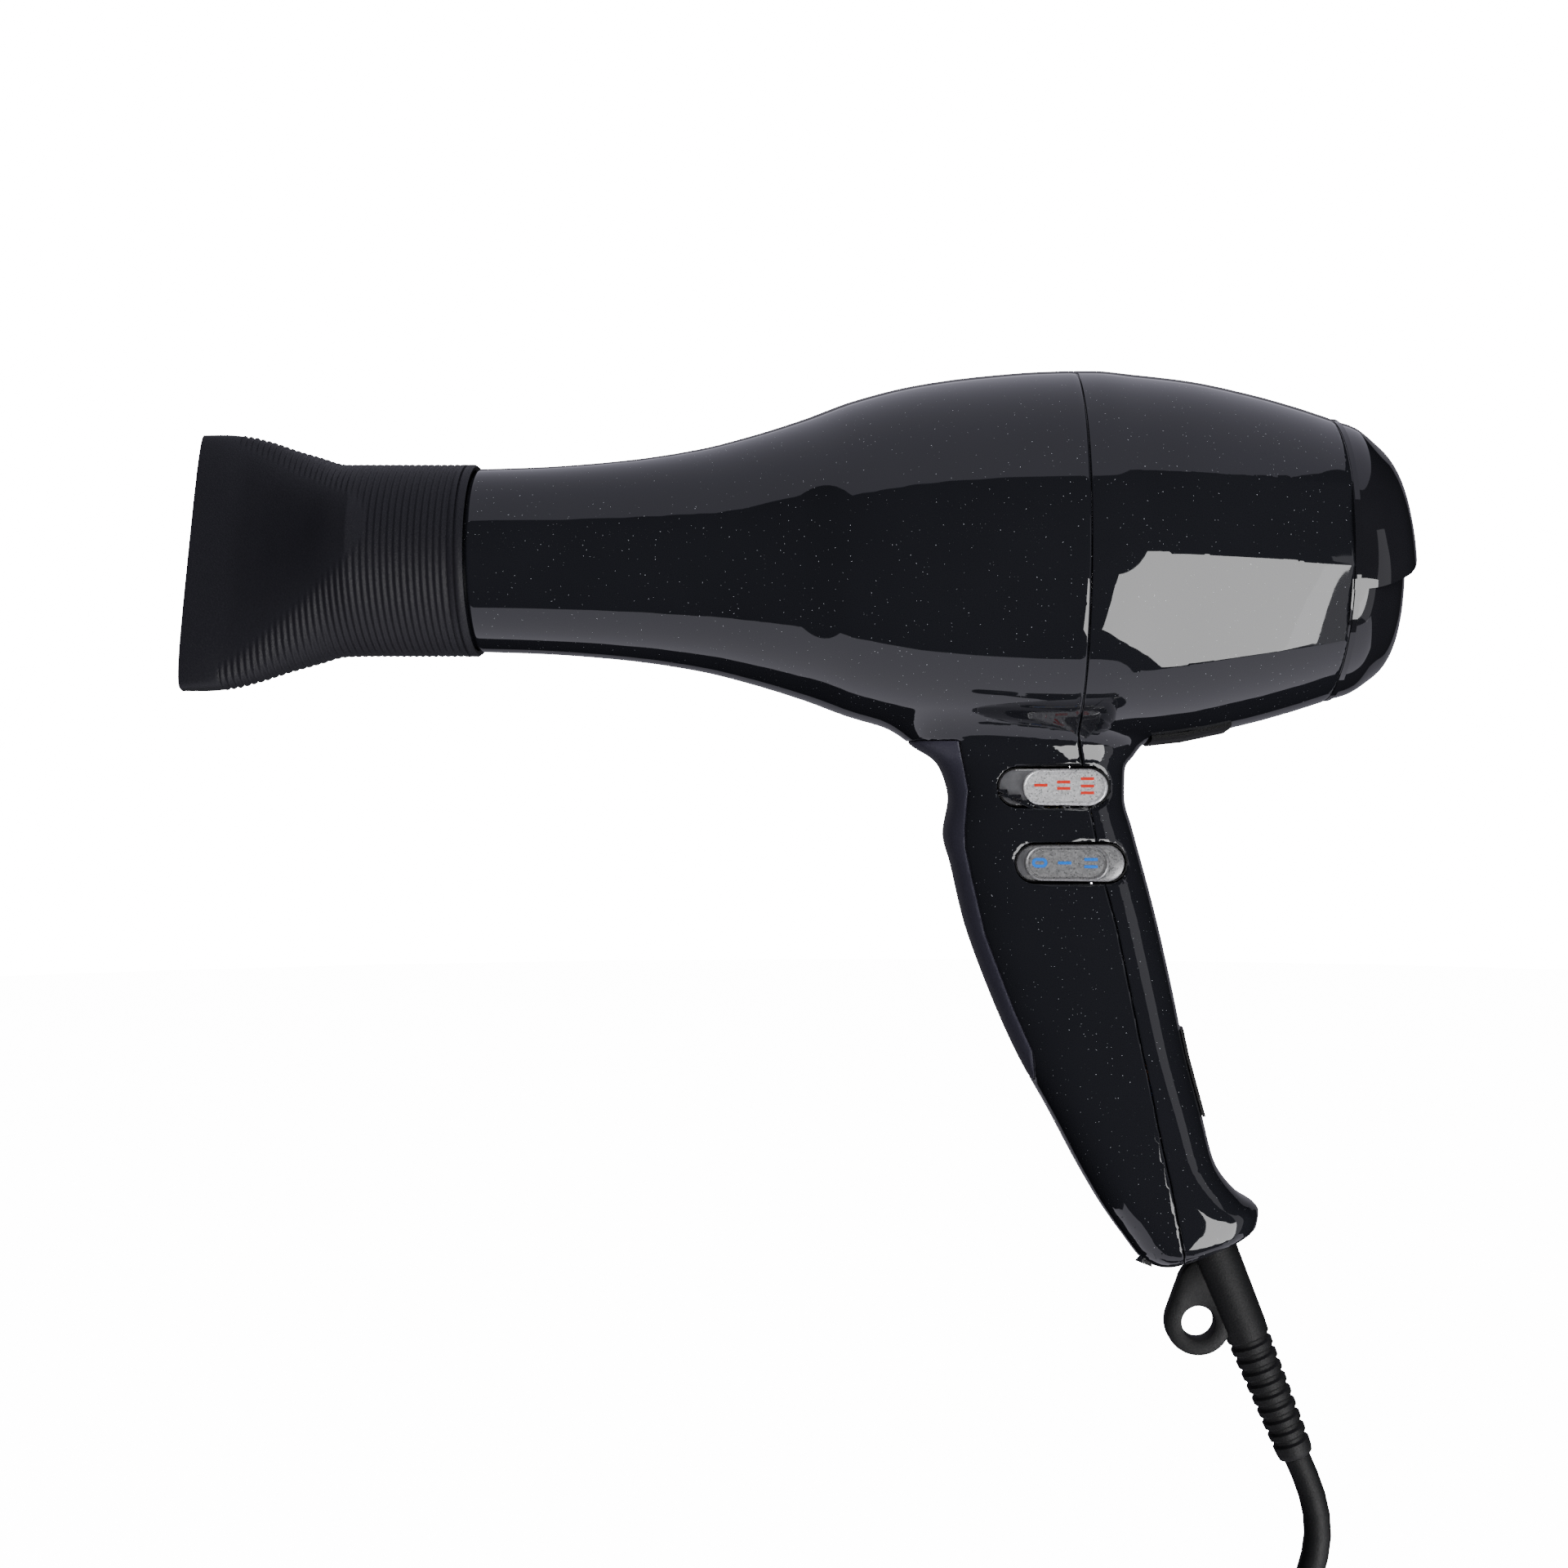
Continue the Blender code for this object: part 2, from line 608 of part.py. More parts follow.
# ---------------------------------------------------------------- heater
def make_heater():
    tube_r = STUB_IN - GAP
    front = MOUTH_X + .0060
    grille = ring("outlet_grille", MOUTH_X + .0010, MOUTH_X + .0035, tube_r - .0016, tube_r,
                  MATT_BLACK, INNER_SIDES)
    bars = [box(f"grille_bar_{i}", (.0016, .0012, 2 * tube_r - .0016),
                (MOUTH_X + .0022, 0, AXIS_Z), turn=(math.radians(45 * i), 0, 0)) for i in range(4)]
    join(grille, *bars)
    ring("heat_tube", front, HEATER_REAR, tube_r - HEAT_TUBE_T, tube_r, MICA, INNER_SIDES)
    wide = tube_r - HEAT_TUBE_T - GAP
    slim = wide - .0022
    lug = .0050
    x0, x1, half = front + .0030, HEATER_REAR - .0020, BOARD_T / 2 + GAP
    middle = (x0 + x1) / 2
    upright = [(x0, -wide), (x0 + lug, -wide), (x0 + lug, -slim), (x1 - lug, -slim),
               (x1 - lug, -wide), (x1, -wide), (x1, -half), (middle, -half), (middle, half),
               (x1, half), (x1, wide), (x1 - lug, wide), (x1 - lug, slim), (x0 + lug, slim),
               (x0 + lug, wide), (x0, wide)]
    level = [(x0 + x1 - x, z) for x, z in upright]
    level = [(x + GAP if abs(x - middle) < GAP else x, z) for x, z in level]
    plate("mica_board_upright", upright, BOARD_T, MICA, (0, 0, AXIS_Z))
    plate("mica_board_level", level, BOARD_T, MICA, (0, 0, AXIS_Z), (math.radians(90), 0, 0))
    coil_r = slim + WIRE_R + GAP
    room = x1 - x0 - 2 * lug
    for n, start in enumerate((x0 + lug + .0030, x0 + lug + .0030 + room / 2)):
        turns, per_turn, length = 3, 14, room / 2 - .0080
        points = []
        for i in range(turns * per_turn + 1):
            angle = 2 * math.pi * i / per_turn
            points.append((start + length * i / (turns * per_turn),
                           coil_r / math.cos(math.pi / per_turn) * math.cos(angle),
                           AXIS_Z + coil_r / math.cos(math.pi / per_turn) * math.sin(angle)))
        tube(f"heater_coil_{n + 1}", points, WIRE_R, STEEL)
    side = BOARD_T / 2 + GAP
    x = x1 - lug / 2 - .0020
    rod("thermostat", .0042, .0042, (x, side, AXIS_Z + .0090), (x, side + .0030, AXIS_Z + .0090),
        STEEL, 16)
    rod("thermal_fuse", .0018, .0018, (x, -side - .0021, AXIS_Z - .0130),
        (x, -side - .0021, AXIS_Z - .0030), CERAMIC, 12)


# ---------------------------------------------------------------- motor and fan
def make_motor():
    x0, x1 = MOTOR_FRONT, MOTOR_FRONT + MOTOR_LENGTH
    wall, hole = .0012, BEARING_R + GAP
    case = [(x1 - wall - GAP, MOTOR_R), (x0, MOTOR_R), (x0, hole), (x0 + wall, hole),
            (x0 + wall, MOTOR_R - wall), (x1 - wall - GAP, MOTOR_R - wall)]
    turned("motor_case", case, STEEL, INNER_SIDES)
    ring("motor_end_plate", x1 - wall, x1, hole, MOTOR_R, STEEL, INNER_SIDES)
    bore = SHAFT_R + GAP
    ring("bearing_front", x0, x0 + .0030, bore, BEARING_R, COPPER, 16)
    ring("bearing_rear", x1 - .0030, x1, bore, BEARING_R, COPPER, 16)
    core0, core1 = x0 + .0080, x0 + .0270
    ring("stator", core0, core1, MOTOR_R * .77, MOTOR_R - wall - GAP, STEEL, INNER_SIDES)
    ring("rotor_core", core0 + .0010, core1 - .0010, bore, MOTOR_R * .77 - .0006, COPPER, 24)
    comm0 = core1 + .0010
    ring("commutator", comm0, comm0 + .0045, bore, .0040, COPPER, 16)
    for name, side in (("brush_upper", 1), ("brush_lower", -1)):
        box(name, (.0034, .0032, .0050), (comm0 + .0022, 0, AXIS_Z + side * (.0040 + GAP + .0025)),
            ((.05, .05, .05), .6))
    shaft_end = fan_front() + FAN_LENGTH - .0010
    disc("shaft", x0 - .0020, shaft_end, SHAFT_R, STEEL, 16)


def fan_front():
    return MOTOR_FRONT + MOTOR_LENGTH + .0080


def make_fan():
    x0 = fan_front()
    hub_r = .0095
    profile = [(x0 + FAN_LENGTH, SHAFT_R + GAP), (x0 + FAN_LENGTH, hub_r * .7),
               (x0 + FAN_LENGTH * .8, hub_r), (x0, hub_r), (x0, SHAFT_R + GAP)]
    fan = turned("impeller", profile, MATT_BLACK, 24)
    span = FAN_R - hub_r * .8
    for i in range(FAN_BLADES):
        blade = box(f"blade_{i}", (FAN_LENGTH * .86, .0013, span), (0, 0, 0))
        spin = Matrix.Rotation(2 * math.pi * i / FAN_BLADES, 4, "X")
        pitch = Matrix.Rotation(math.radians(38), 4, "Z")
        out = Matrix.Translation((x0 + FAN_LENGTH / 2, 0, 0))
        rise = Matrix.Translation((0, 0, hub_r * .8 + span / 2))
        blade.matrix_world = Matrix.Translation((0, 0, AXIS_Z)) @ out @ spin @ rise @ pitch
        join(fan, blade)
    shroud_in = FAN_R + .0007
    shroud_out = shroud_in + .0016
    cup_in, cup_out = MOTOR_R + GAP, MOTOR_R + GAP + .0014
    guide = ring("motor_mount", MOTOR_FRONT + .0100, x0 + FAN_LENGTH, shroud_in, shroud_out,
                 MATT_BLACK, INNER_SIDES)
    cup0, cup1 = MOTOR_FRONT + .0100, MOTOR_FRONT + .0300
    join(guide, ring("motor_cup", cup0, cup1, cup_in, cup_out, sides=INNER_SIDES))
    reach = (shroud_in + shroud_out) / 2 - (cup_in + cup_out) / 2
    for i in range(GUIDE_VANES):
        vane = box(f"vane_{i}", (.0160, .0014, reach), (0, 0, 0))
        turn = Matrix.Rotation(2 * math.pi * i / GUIDE_VANES, 4, "X")
        rise = Matrix.Translation((cup0 + .0095, 0, (cup_in + cup_out) / 2 + reach / 2))
        vane.matrix_world = Matrix.Translation((0, 0, AXIS_Z)) @ turn @ rise
        join(guide, vane)
    seat = min(r for x, r in rear_profile(WALL) if x < REAR_LENGTH * .3)
    ring("damper_ring", .0070, .0110, shroud_out + GAP, seat - GAP, RUBBER, INNER_SIDES)


# ---------------------------------------------------------------- switches
def make_switch(name, at, mark):
    x, z = cross(at)
    body = plate(f"{name}_switch_body", stadium(WINDOW_LENGTH - 2 * GAP, WINDOW_WIDTH - 2 * GAP),
                 SWITCH_DEPTH, MATT_BLACK, (x, SWITCH_FACE + SWITCH_DEPTH / 2, z))
    pocket = plate(f"{name}_pocket", stadium(WINDOW_LENGTH - 2 * GAP - 2 * FRAME_LIP,
                                             WINDOW_WIDTH - 2 * GAP - 2 * FRAME_LIP),
                   .0140, at=(x, SWITCH_FACE, z))
    cut(body, pocket)
    pivot = SWITCH_FACE + .0027
    rocker = plate(f"{name}_rocker", stadium(ROCKER_LENGTH, ROCKER_WIDTH), .0065, mark)
    rocker.data.transform(Matrix.Translation((0, -.0022, 0)))
    rocker.location = (x, pivot, z)
    rocker.rotation_euler = (0, 0, -ROCKER_TILT)


def make_wiring():
    up_x, up_z = cross(UP_WINDOW)
    low_x, low_z = cross(LOW_WINDOW)
    box("suppression_capacitor", (.0130, .0065, .0140), (up_x + .002, .0065, up_z - .002),
        ((.60, .45, .10), .45), bevel=.0006)
    block_z = low_z - .0150
    box("terminal_block", (.0140, .0080, .0120), (low_x + .004, .0045, block_z), CERAMIC,
        bevel=.0006)
    start, way = boot_line()
    root = start - way * (WALL + .0045)
    top = Vector((low_x + .004, .0070, block_z - .0070))
    box("cord_clamp", (.0150, HANDLE_HALF * 1.02, .0040), (root.x - .0060, 0, root.z + .0075),
        MATT_BLACK, bevel=.0005)
    clamp = bpy.data.objects["cord_clamp"]
    for n, side in enumerate((-1, 1)):
        line = [(root.x - .0025, side * .0042, root.z + .0010),
                (root.x - .0028, side * .0045, root.z + .0110),
                (root.x - .0050, side * HANDLE_HALF * .42, root.z + .0160),
                ((root.x + top.x) / 2 + .0030, side * HANDLE_HALF * .46, (root.z + top.z) / 2),
                (top.x + side * .0030, top.y, top.z - .0090),
                (top.x + side * .0030, top.y, top.z)]
        cut(clamp, rod(f"clamp_way_{n}", .0014, .0014, (line[0][0], line[0][1], root.z - .002),
                       (line[1][0], line[1][1], root.z + .016), sides=12))
        tube(f"supply_lead_{n + 1}", smooth_line(line, .0060), .0010,
             (((.35, .16, .06), .45), ((.05, .12, .45), .45))[n])
    bend = SWITCH_FACE + SWITCH_DEPTH + GAP + .0010
    line = [(up_x - .0090, bend, up_z - .002), (up_x - .0130, bend, up_z + .0100),
            (up_x - .0230, .0000, up_z + .0220), (-.0450, 0, AXIS_Z - .0200),
            (HEATER_REAR + .0030, 0, AXIS_Z - .0080)]
    tube("heater_lead", smooth_line(line, .0070), .0010, ((.75, .75, .72), .5))
    line = [(up_x + .0060, bend, up_z + .0010), (up_x + .0010, bend, up_z + .0120),
            (-.0120, .0020, AXIS_Z - .0300), (-.0135, .0020, AXIS_Z - .0160),
            (MOTOR_FRONT - .0020, .0020, AXIS_Z - .0120)]
    tube("motor_lead", smooth_line(line, .0060), .0010, ((.55, .05, .05), .5))


# ---------------------------------------------------------------- cord, boot and plug
COIL_CENTRE = Vector((0.0320, 0, -0.2250))


def loop_centre():
    """Middle of the hanging loop's hole, in front of the boot."""
    start, way = boot_line()
    return start + way * .0185 + Vector((way.z, 0, -way.x)) * .0107


def make_boot():
    start, way = boot_line()
    tip = start + way * BOOT_LENGTH
    collar = start - way * WALL * 1.6
    boot = rod("cord_boot", BOOT_R, CORD_R + .0012, collar, tip, RUBBER, 24)
    join(boot, rod("boot_flange", BOOT_R + .0016, BOOT_R + .0016, collar - way * .0030,
                   collar + way * .0005, sides=24))
    hole, lean = loop_centre(), math.radians(-70)
    up = Vector((math.cos(lean), 0, -math.sin(lean)))
    middle = hole + up * (LOOP_TAB - LOOP_WIDTH) / 2
    join(boot, plate("loop_tab", stadium(LOOP_TAB, LOOP_WIDTH, 10), .0060, at=middle,
                     turn=(0, lean, 0)))
    reach = Vector((0, BOOT_R, 0))
    cut(boot, rod("loop_hole", LOOP_HOLE_R, LOOP_HOLE_R, hole - reach, hole + reach, sides=20))


def cord_route():
    """From the boot's tip to the coil; the rest of the cord lies in the coil."""
    start, way = boot_line()
    tip = start + way * (BOOT_LENGTH + GAP)
    return [tip, (.0619, 0, -.1295), (.0635, 0, -.1400), (.0608, 0, -.1520), (.0535, 0, -.1615),
            (.0430, 0, -.1675), (.0320, 0, -.1692)]


def make_cord():
    tube("cord_upper", smooth_line(cord_route(), .0085), CORD_R, RUBBER)
    sides = 12
    outline = []
    for i in range(sides):
        u, v = round_power(2 * math.pi * i / sides, 2.4)
        outline.append((COIL_WIDE * u, COIL_R + COIL_DEEP * v))
    coil = turned("cord_coil", outline, RUBBER, 24, at=COIL_CENTRE)
    coil.rotation_euler = (math.radians(90), 0, 0)
    tie = plate("cord_tie", stadium(2 * COIL_WIDE + 4 * TIE_T, 2 * COIL_DEEP + 4 * TIE_T, 6), .0100,
                MATT_BLACK)
    hole = plate("tie_hole", stadium(2 * COIL_WIDE + 2 * TIE_T, 2 * COIL_DEEP + 2 * TIE_T, 6), .0200)
    for body in (tie, hole):
        body.location = COIL_CENTRE - Vector((0, 0, COIL_R))
        body.rotation_euler = (0, 0, math.radians(90))
    cut(tie, hole)


def plug_route():
    """From the coil to the plug, which hangs beside it."""
    return [(-.0163, 0, -.1971), (-.0225, 0, -.2080), (-.0295, 0, -.2190), (-.0380, 0, -.2310),
            (-.0435, 0, -.2430), (-.0450, 0, -.2560)]


def make_plug():
    route = plug_route()
    tube("cord_lower", smooth_line(route, .0085), CORD_R, RUBBER)
    end = Vector(route[-1])
    neck = end - Vector((0, 0, GAP * 2))
    body = box("plug_body", (.0350, .0250, .0320), neck - Vector((0, 0, .0360)), RUBBER, bevel=.004)
    join(body, rod("plug_neck", .0055, .0080, neck, neck - Vector((0, 0, .0240)), sides=20))
    face = neck.z - .0520
    for n, side in enumerate((-1, 1)):
        x = end.x + side * .0095
        rod(f"plug_pin_{n + 1}", .0024, .0024, (x, 0, face - GAP - .0190), (x, 0, face - GAP),
            STEEL, 16)


# ---------------------------------------------------------------- the whole dryer
def main():
    clear_scene()
    make_front_housing()
    make_rear_housing()
    make_grip_strip()
    make_screws()
    make_plates()
    make_rear_cap()
    make_nozzle()
    make_heater()
    make_motor()
    make_fan()
    make_switch("heat", UP_WINDOW, SILVER)
    make_switch("speed", LOW_WINDOW, SILVER)
    make_wiring()
    make_boot()
    make_cord()
    make_plug()


main()
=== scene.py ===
"""Looks of a hand-held hair dryer: a glossy two-part housing with a turning flat nozzle,
a swirled intake cap, two rocker switches, a soft grip strip and a mains cord.

Frame: +X runs to the rear along the barrel, +Z is up, metres. Outer faces look to -Y.
"""
import json
import math

import bmesh
import bpy
import numpy as np
from bpy.props import FloatProperty, FloatVectorProperty, IntProperty, PointerProperty
from mathutils import Matrix, Vector


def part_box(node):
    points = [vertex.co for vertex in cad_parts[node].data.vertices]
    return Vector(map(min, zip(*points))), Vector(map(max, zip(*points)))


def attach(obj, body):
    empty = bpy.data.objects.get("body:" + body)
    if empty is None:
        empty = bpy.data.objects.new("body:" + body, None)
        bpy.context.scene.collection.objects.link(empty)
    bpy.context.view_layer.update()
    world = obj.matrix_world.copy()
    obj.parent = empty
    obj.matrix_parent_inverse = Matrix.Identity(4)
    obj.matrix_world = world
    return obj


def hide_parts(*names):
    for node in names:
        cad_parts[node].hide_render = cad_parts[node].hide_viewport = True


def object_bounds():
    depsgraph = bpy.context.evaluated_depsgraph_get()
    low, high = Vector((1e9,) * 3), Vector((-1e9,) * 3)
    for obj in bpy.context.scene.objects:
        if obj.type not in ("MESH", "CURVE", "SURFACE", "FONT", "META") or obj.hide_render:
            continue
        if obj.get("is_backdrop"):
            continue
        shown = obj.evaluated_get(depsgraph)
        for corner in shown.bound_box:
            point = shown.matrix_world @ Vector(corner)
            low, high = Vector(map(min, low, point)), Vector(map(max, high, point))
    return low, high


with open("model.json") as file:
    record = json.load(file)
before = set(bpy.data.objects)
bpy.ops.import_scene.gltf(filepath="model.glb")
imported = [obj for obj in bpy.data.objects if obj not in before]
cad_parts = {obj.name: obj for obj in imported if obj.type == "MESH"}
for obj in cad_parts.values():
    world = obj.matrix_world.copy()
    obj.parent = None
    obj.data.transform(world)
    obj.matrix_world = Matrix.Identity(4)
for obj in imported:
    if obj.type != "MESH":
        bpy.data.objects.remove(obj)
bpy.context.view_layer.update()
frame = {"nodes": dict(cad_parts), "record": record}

bl_info = {
    "name": "Hair dryer",
    "version": (1, 0, 0),
    "blender": (4, 5, 0),
    "location": "3D View > Sidebar > Hair dryer",
    "description": "Builds the looks of a hand-held hair dryer around its packed model",
    "category": "Object",
}

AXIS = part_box("shaft")[0].z / 2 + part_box("shaft")[1].z / 2    # height of the barrel's axis
SHOULDER = -.1514            # where the barrel steps down to its spigot
REAR = .0645                 # where the rear cap begins
DROP, DEPTH, HALF = .181, .0485, .0176       # the handle's length, depth and half width
MOUTH_R, BODY_R, REAR_R = .0234, .0480, .0363
WALL = .0024
GAP = .0003                  # between two parts that meet
SOFT = .0005                 # how far the rounding of an edge reaches
FLAKE_CELLS = 1050           # flakes in a metre
ROCKER_TILT = math.radians(-8)
ROCKER_PIVOT_Y = -.0125
NOZZLE_TURN = math.radians(-17)
PETAL_TURN = math.radians(107)
COLOUR_RESULT = 2            # a Mix node's outputs are a number, a vector, then a colour

# Barrel and rear body: x, radius.
BODY_LINE = ((-.1514, .0234), (-.1363, .0239), (-.1151, .0255), (-.0954, .0284), (-.0825, .0316),
             (-.0689, .0358), (-.0559, .0405), (-.0400, .0444), (-.0238, .0466), (-.0079, .0478),
             (0, .0480), (.0045, .0480), (.0155, .0470), (.0284, .0455), (.0439, .0423),
             (.0564, .0389), (.0645, .0363))
# Handle sections: front x and rear x in depths, their distances below the axis in handle
# lengths, and the section's half width as a share of the widest.
HANDLE_LINE = (
    (-.885, .221, .392, .221, .97), (-.827, .260, .340, .271, .97), (-.711, .287, .280, .296, .97),
    (-.652, .337, .276, .335, .99), (-.680, .386, .320, .381, 1.0),
    (-.639, .431, .371, .431, 1.0), (-.571, .509, .447, .509, 1.0),
    (-.445, .603, .526, .603, 1.0), (-.293, .696, .598, .696, .98), (-.122, .779, .680, .779, .97),
    (.033, .857, .753, .851, .95), (.155, .912, .882, .895, .94), (.264, .953, .981, .915, .91),
    (.363, .986, .969, .936, .85), (.454, .999, .887, .955, .70))
SEAM_LINE = ((0, .250), (.068, .350), (.146, .457), (.202, .512), (.272, .603), (.320, .667),
             (.379, .739), (.425, .803), (.482, .871), (.553, .968), (.590, 1.06))
GRIP_LINE = ((-.610, .257), (-.586, .291), (-.561, .325), (-.579, .378), (-.575, .407),
             (-.546, .443), (-.472, .527), (-.398, .580), (-.326, .630), (-.229, .688),
             (-.208, .731))
WINDOWS = ((-.120, .321), (-.029, .4254))
# Creases along the side of the rear body: height over the axis at the seam and at the cap.
CREASES = ((.0173, .0148), (-.0020, -.0047), (-.0325, -.0225))


# ---------------------------------------------------------------- sizes and colours
def length(name, text, value, **more):
    return FloatProperty(name=name, description=text, default=value, subtype="DISTANCE",
                         unit="LENGTH", precision=4, **more)


def colour(name, text, value):
    return FloatVectorProperty(name=name, description=text, default=value, subtype="COLOR",
                               size=3, min=0, max=1)


class HousingSizes(bpy.types.PropertyGroup):
    grain: length("Mesh grain", "Size of the housing's mesh faces", .0013)
    blend: length("Blend", "Radius where the handle flows into the barrel", .0085)
    crease: length("Rear blend", "The same radius behind the handle", .0035)
    lip: length("Seam lip", "How far the bead at the seam stands proud", .00055)
    rim: length("Rim drop", "How far the edges of the shells are rounded down", .00016)
    flat: FloatProperty(name="Side flats", description="How flat the sides of the rear body are",
                        default=.92, min=0, max=1)


class CapSizes(bpy.types.PropertyGroup):
    petals: IntProperty(name="Petals", description="Overlapping petals of the cap", default=3,
                        min=2, max=6)
    rise: length("Petal rise", "How far each petal climbs over the next", .0028)
    sheet: length("Petal thickness", "Thickness of a petal", .0013)


class NozzleSizes(bpy.types.PropertyGroup):
    pitch: length("Rib pitch", "Distance between two ribs", .00164)
    height: length("Rib height", "Height of a rib over its groove", .00042)
    ribs: IntProperty(name="Collar ribs", description="Ribs all round the collar", default=12,
                      min=4, max=20)


class SwitchSizes(bpy.types.PropertyGroup):
    bead: length("Bead", "Height of the bead around the pressed area", .0005)
    bar: length("Mark length", "Length of a printed bar", .0033)
    stroke: length("Mark stroke", "Thickness of a printed bar", .00072)


class CordSizes(bpy.types.PropertyGroup):
    diameter: length("Cord diameter", "Outer diameter of the mains cord", .0070)
    whole: length("Cord length", "Length from the strain relief to the plug", 2.6)


class Finishes(bpy.types.PropertyGroup):
    gloss: colour("Gloss black", "Housing plastic", (.0090, .0093, .0118))
    flake: colour("Flakes", "Silver flakes in the housing plastic", (.62, .64, .70))
    grip: colour("Grip", "Satin strip on the handle", (.0290, .0275, .0400))
    nozzle: colour("Nozzle", "Matt charcoal plastic", (.0105, .0103, .0135))
    silver: colour("Silver", "Paint of the rocker switches", (.60, .60, .615))
    hot: colour("Heat marks", "Printed marks of the heat switch", (.55, .020, .008))
    cool: colour("Speed marks", "Printed marks of the speed switch", (.004, .13, .55))


class StageSizes(bpy.types.PropertyGroup):
    lens: FloatProperty(name="Lens", description="Focal length of the camera", default=47.4,
                        unit="CAMERA")
    far: length("Backdrop", "Radius of the pale backdrop", 4.0)


# ---------------------------------------------------------------- small tools
def sizes(name):
    return getattr(bpy.context.scene, "dryer_" + name)


def smoothstep(value, low, high):
    share = np.clip((value - low) / (high - low), 0, 1)
    return share * share * (3 - 2 * share)


def steady(points, count=600):
    """A dense table of a smooth line through (x, y) points that never overshoots."""
    x, y = np.array(points, float).T
    step = np.diff(x)
    slope = np.diff(y) / step
    tangent = np.zeros(len(x))
    tangent[0], tangent[-1] = slope[0], slope[-1]
    for i in range(1, len(x) - 1):
        if slope[i - 1] * slope[i] > 0:
            a, b = 2 * step[i] + step[i - 1], step[i] + 2 * step[i - 1]
            tangent[i] = (a + b) / (a / slope[i - 1] + b / slope[i])
    fine = np.linspace(x[0], x[-1], count)
    i = np.clip(np.searchsorted(x, fine) - 1, 0, len(x) - 2)
    t = (fine - x[i]) / step[i]
    value = (y[i] * (1 + 2 * t) * (1 - t) ** 2 + tangent[i] * step[i] * t * (1 - t) ** 2
             + y[i + 1] * t * t * (3 - 2 * t) + tangent[i + 1] * step[i] * t * t * (t - 1))
    return fine, value


BODY_X, BODY_RADIUS = steady(BODY_LINE)
HANDLE_T = np.linspace(0, len(HANDLE_LINE) - 1, 600)
HANDLE_FINE = [steady(list(enumerate(column)))[1] for column in zip(*HANDLE_LINE)]


def body_radius(x):
    tail = (BODY_RADIUS[-1] - BODY_RADIUS[-8]) / (BODY_X[-1] - BODY_X[-8])
    return np.interp(x, BODY_X, BODY_RADIUS) + np.maximum(x - REAR, 0) * tail


def at_handle(place):
    """World x and z of a point in handle shares."""
    return place[0] * DEPTH, AXIS - place[1] * DROP


def added(name, data):
    """A new object in the scene."""
    made = bpy.data.objects.new(name, data)
    bpy.context.scene.collection.objects.link(made)
    return made


def meshed(name, form, looks=()):
    """A new object in the scene made of the form, smooth and in the named finishes."""
    mesh = bpy.data.meshes.new(name)
    form.to_mesh(mesh)
    form.free()
    mesh.shade_smooth()
    for look in looks:
        mesh.materials.append(bpy.data.materials[look])
    return added(name, mesh)


def piece(name, form, body, slot, replaced=(), sharp=35, looks=()):
    """A finished piece at the origin that rides on a body."""
    made = meshed(name, form, looks or (slot,))
    made.data.set_sharp_from_angle(angle=math.radians(sharp))
    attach(made, body)
    if replaced:
        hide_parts(*replaced)
    return made


def first_ring(form, points):
    """A closed ring through the points, begun as a circle."""
    ring = bmesh.ops.create_circle(form, segments=len(points), radius=1)["verts"]
    ring = sorted(ring, key=lambda vert: math.atan2(vert.co.y, vert.co.x))
    for vert, place in zip(ring, points):
        vert.co = place
    return ring


def next_ring(form, ring, points):
    """Extrudes the ring and lays its new corners on the points."""
    edges = [form.edges.get((a, b)) for a, b in zip(ring, ring[1:] + ring[:1])]
    made = set(bmesh.ops.extrude_edge_only(form, edges=edges)["geom"])
    after = []
    for vert, place in zip(ring, points):
        fresh = next(e.other_vert(vert) for e in vert.link_edges if e.other_vert(vert) in made)
        fresh.co = place
        after.append(fresh)
    return after


def skin(form, rings, cap_first=True, cap_last=True):
    """Extrudes a ring through all the others and closes the ends."""
    ring = first_ring(form, rings[0])
    if cap_first:
        bmesh.ops.contextual_create(form, geom=ring)
    for points in rings[1:]:
        ring = next_ring(form, ring, points)
    if cap_last:
        bmesh.ops.contextual_create(form, geom=ring)


def outward(form):
    bmesh.ops.remove_doubles(form, verts=form.verts, dist=1e-6)
    bmesh.ops.recalc_face_normals(form, faces=form.faces)


def turned(form, line, sides=96, closed=True):
    """Spins a line of (x, radius) points once round the barrel's axis."""
    verts = [form.verts.new((x, 0, AXIS + r)) for x, r in line]
    edges = [form.edges.new(pair) for pair in zip(verts, verts[1:])]
    if closed:
        edges.append(form.edges.new((verts[-1], verts[0])))
    bmesh.ops.spin(form, geom=verts + edges, cent=(0, 0, AXIS), axis=(1, 0, 0),
                   angle=2 * math.pi, steps=sides, use_merge=True, use_duplicate=False)


def oval(length, width, count=48):
    """Points of a slot with round ends, as (x, z)."""
    r, half = width / 2, (length - width) / 2
    around = [2 * math.pi * (i + .5) / count for i in range(count)]
    return [(math.copysign(half, math.cos(a)) + r * math.cos(a), r * math.sin(a)) for a in around]


def turns(count):
    """Evenly spaced angles of one turn."""
    return [2 * math.pi * i / count for i in range(count)]


def squared(angle, power):
    """A point on a rounded square of half width one; a power of two gives a circle."""
    c, s = math.cos(angle), math.sin(angle)
    return (math.copysign(abs(c) ** (2 / power), c), math.copysign(abs(s) ** (2 / power), s))


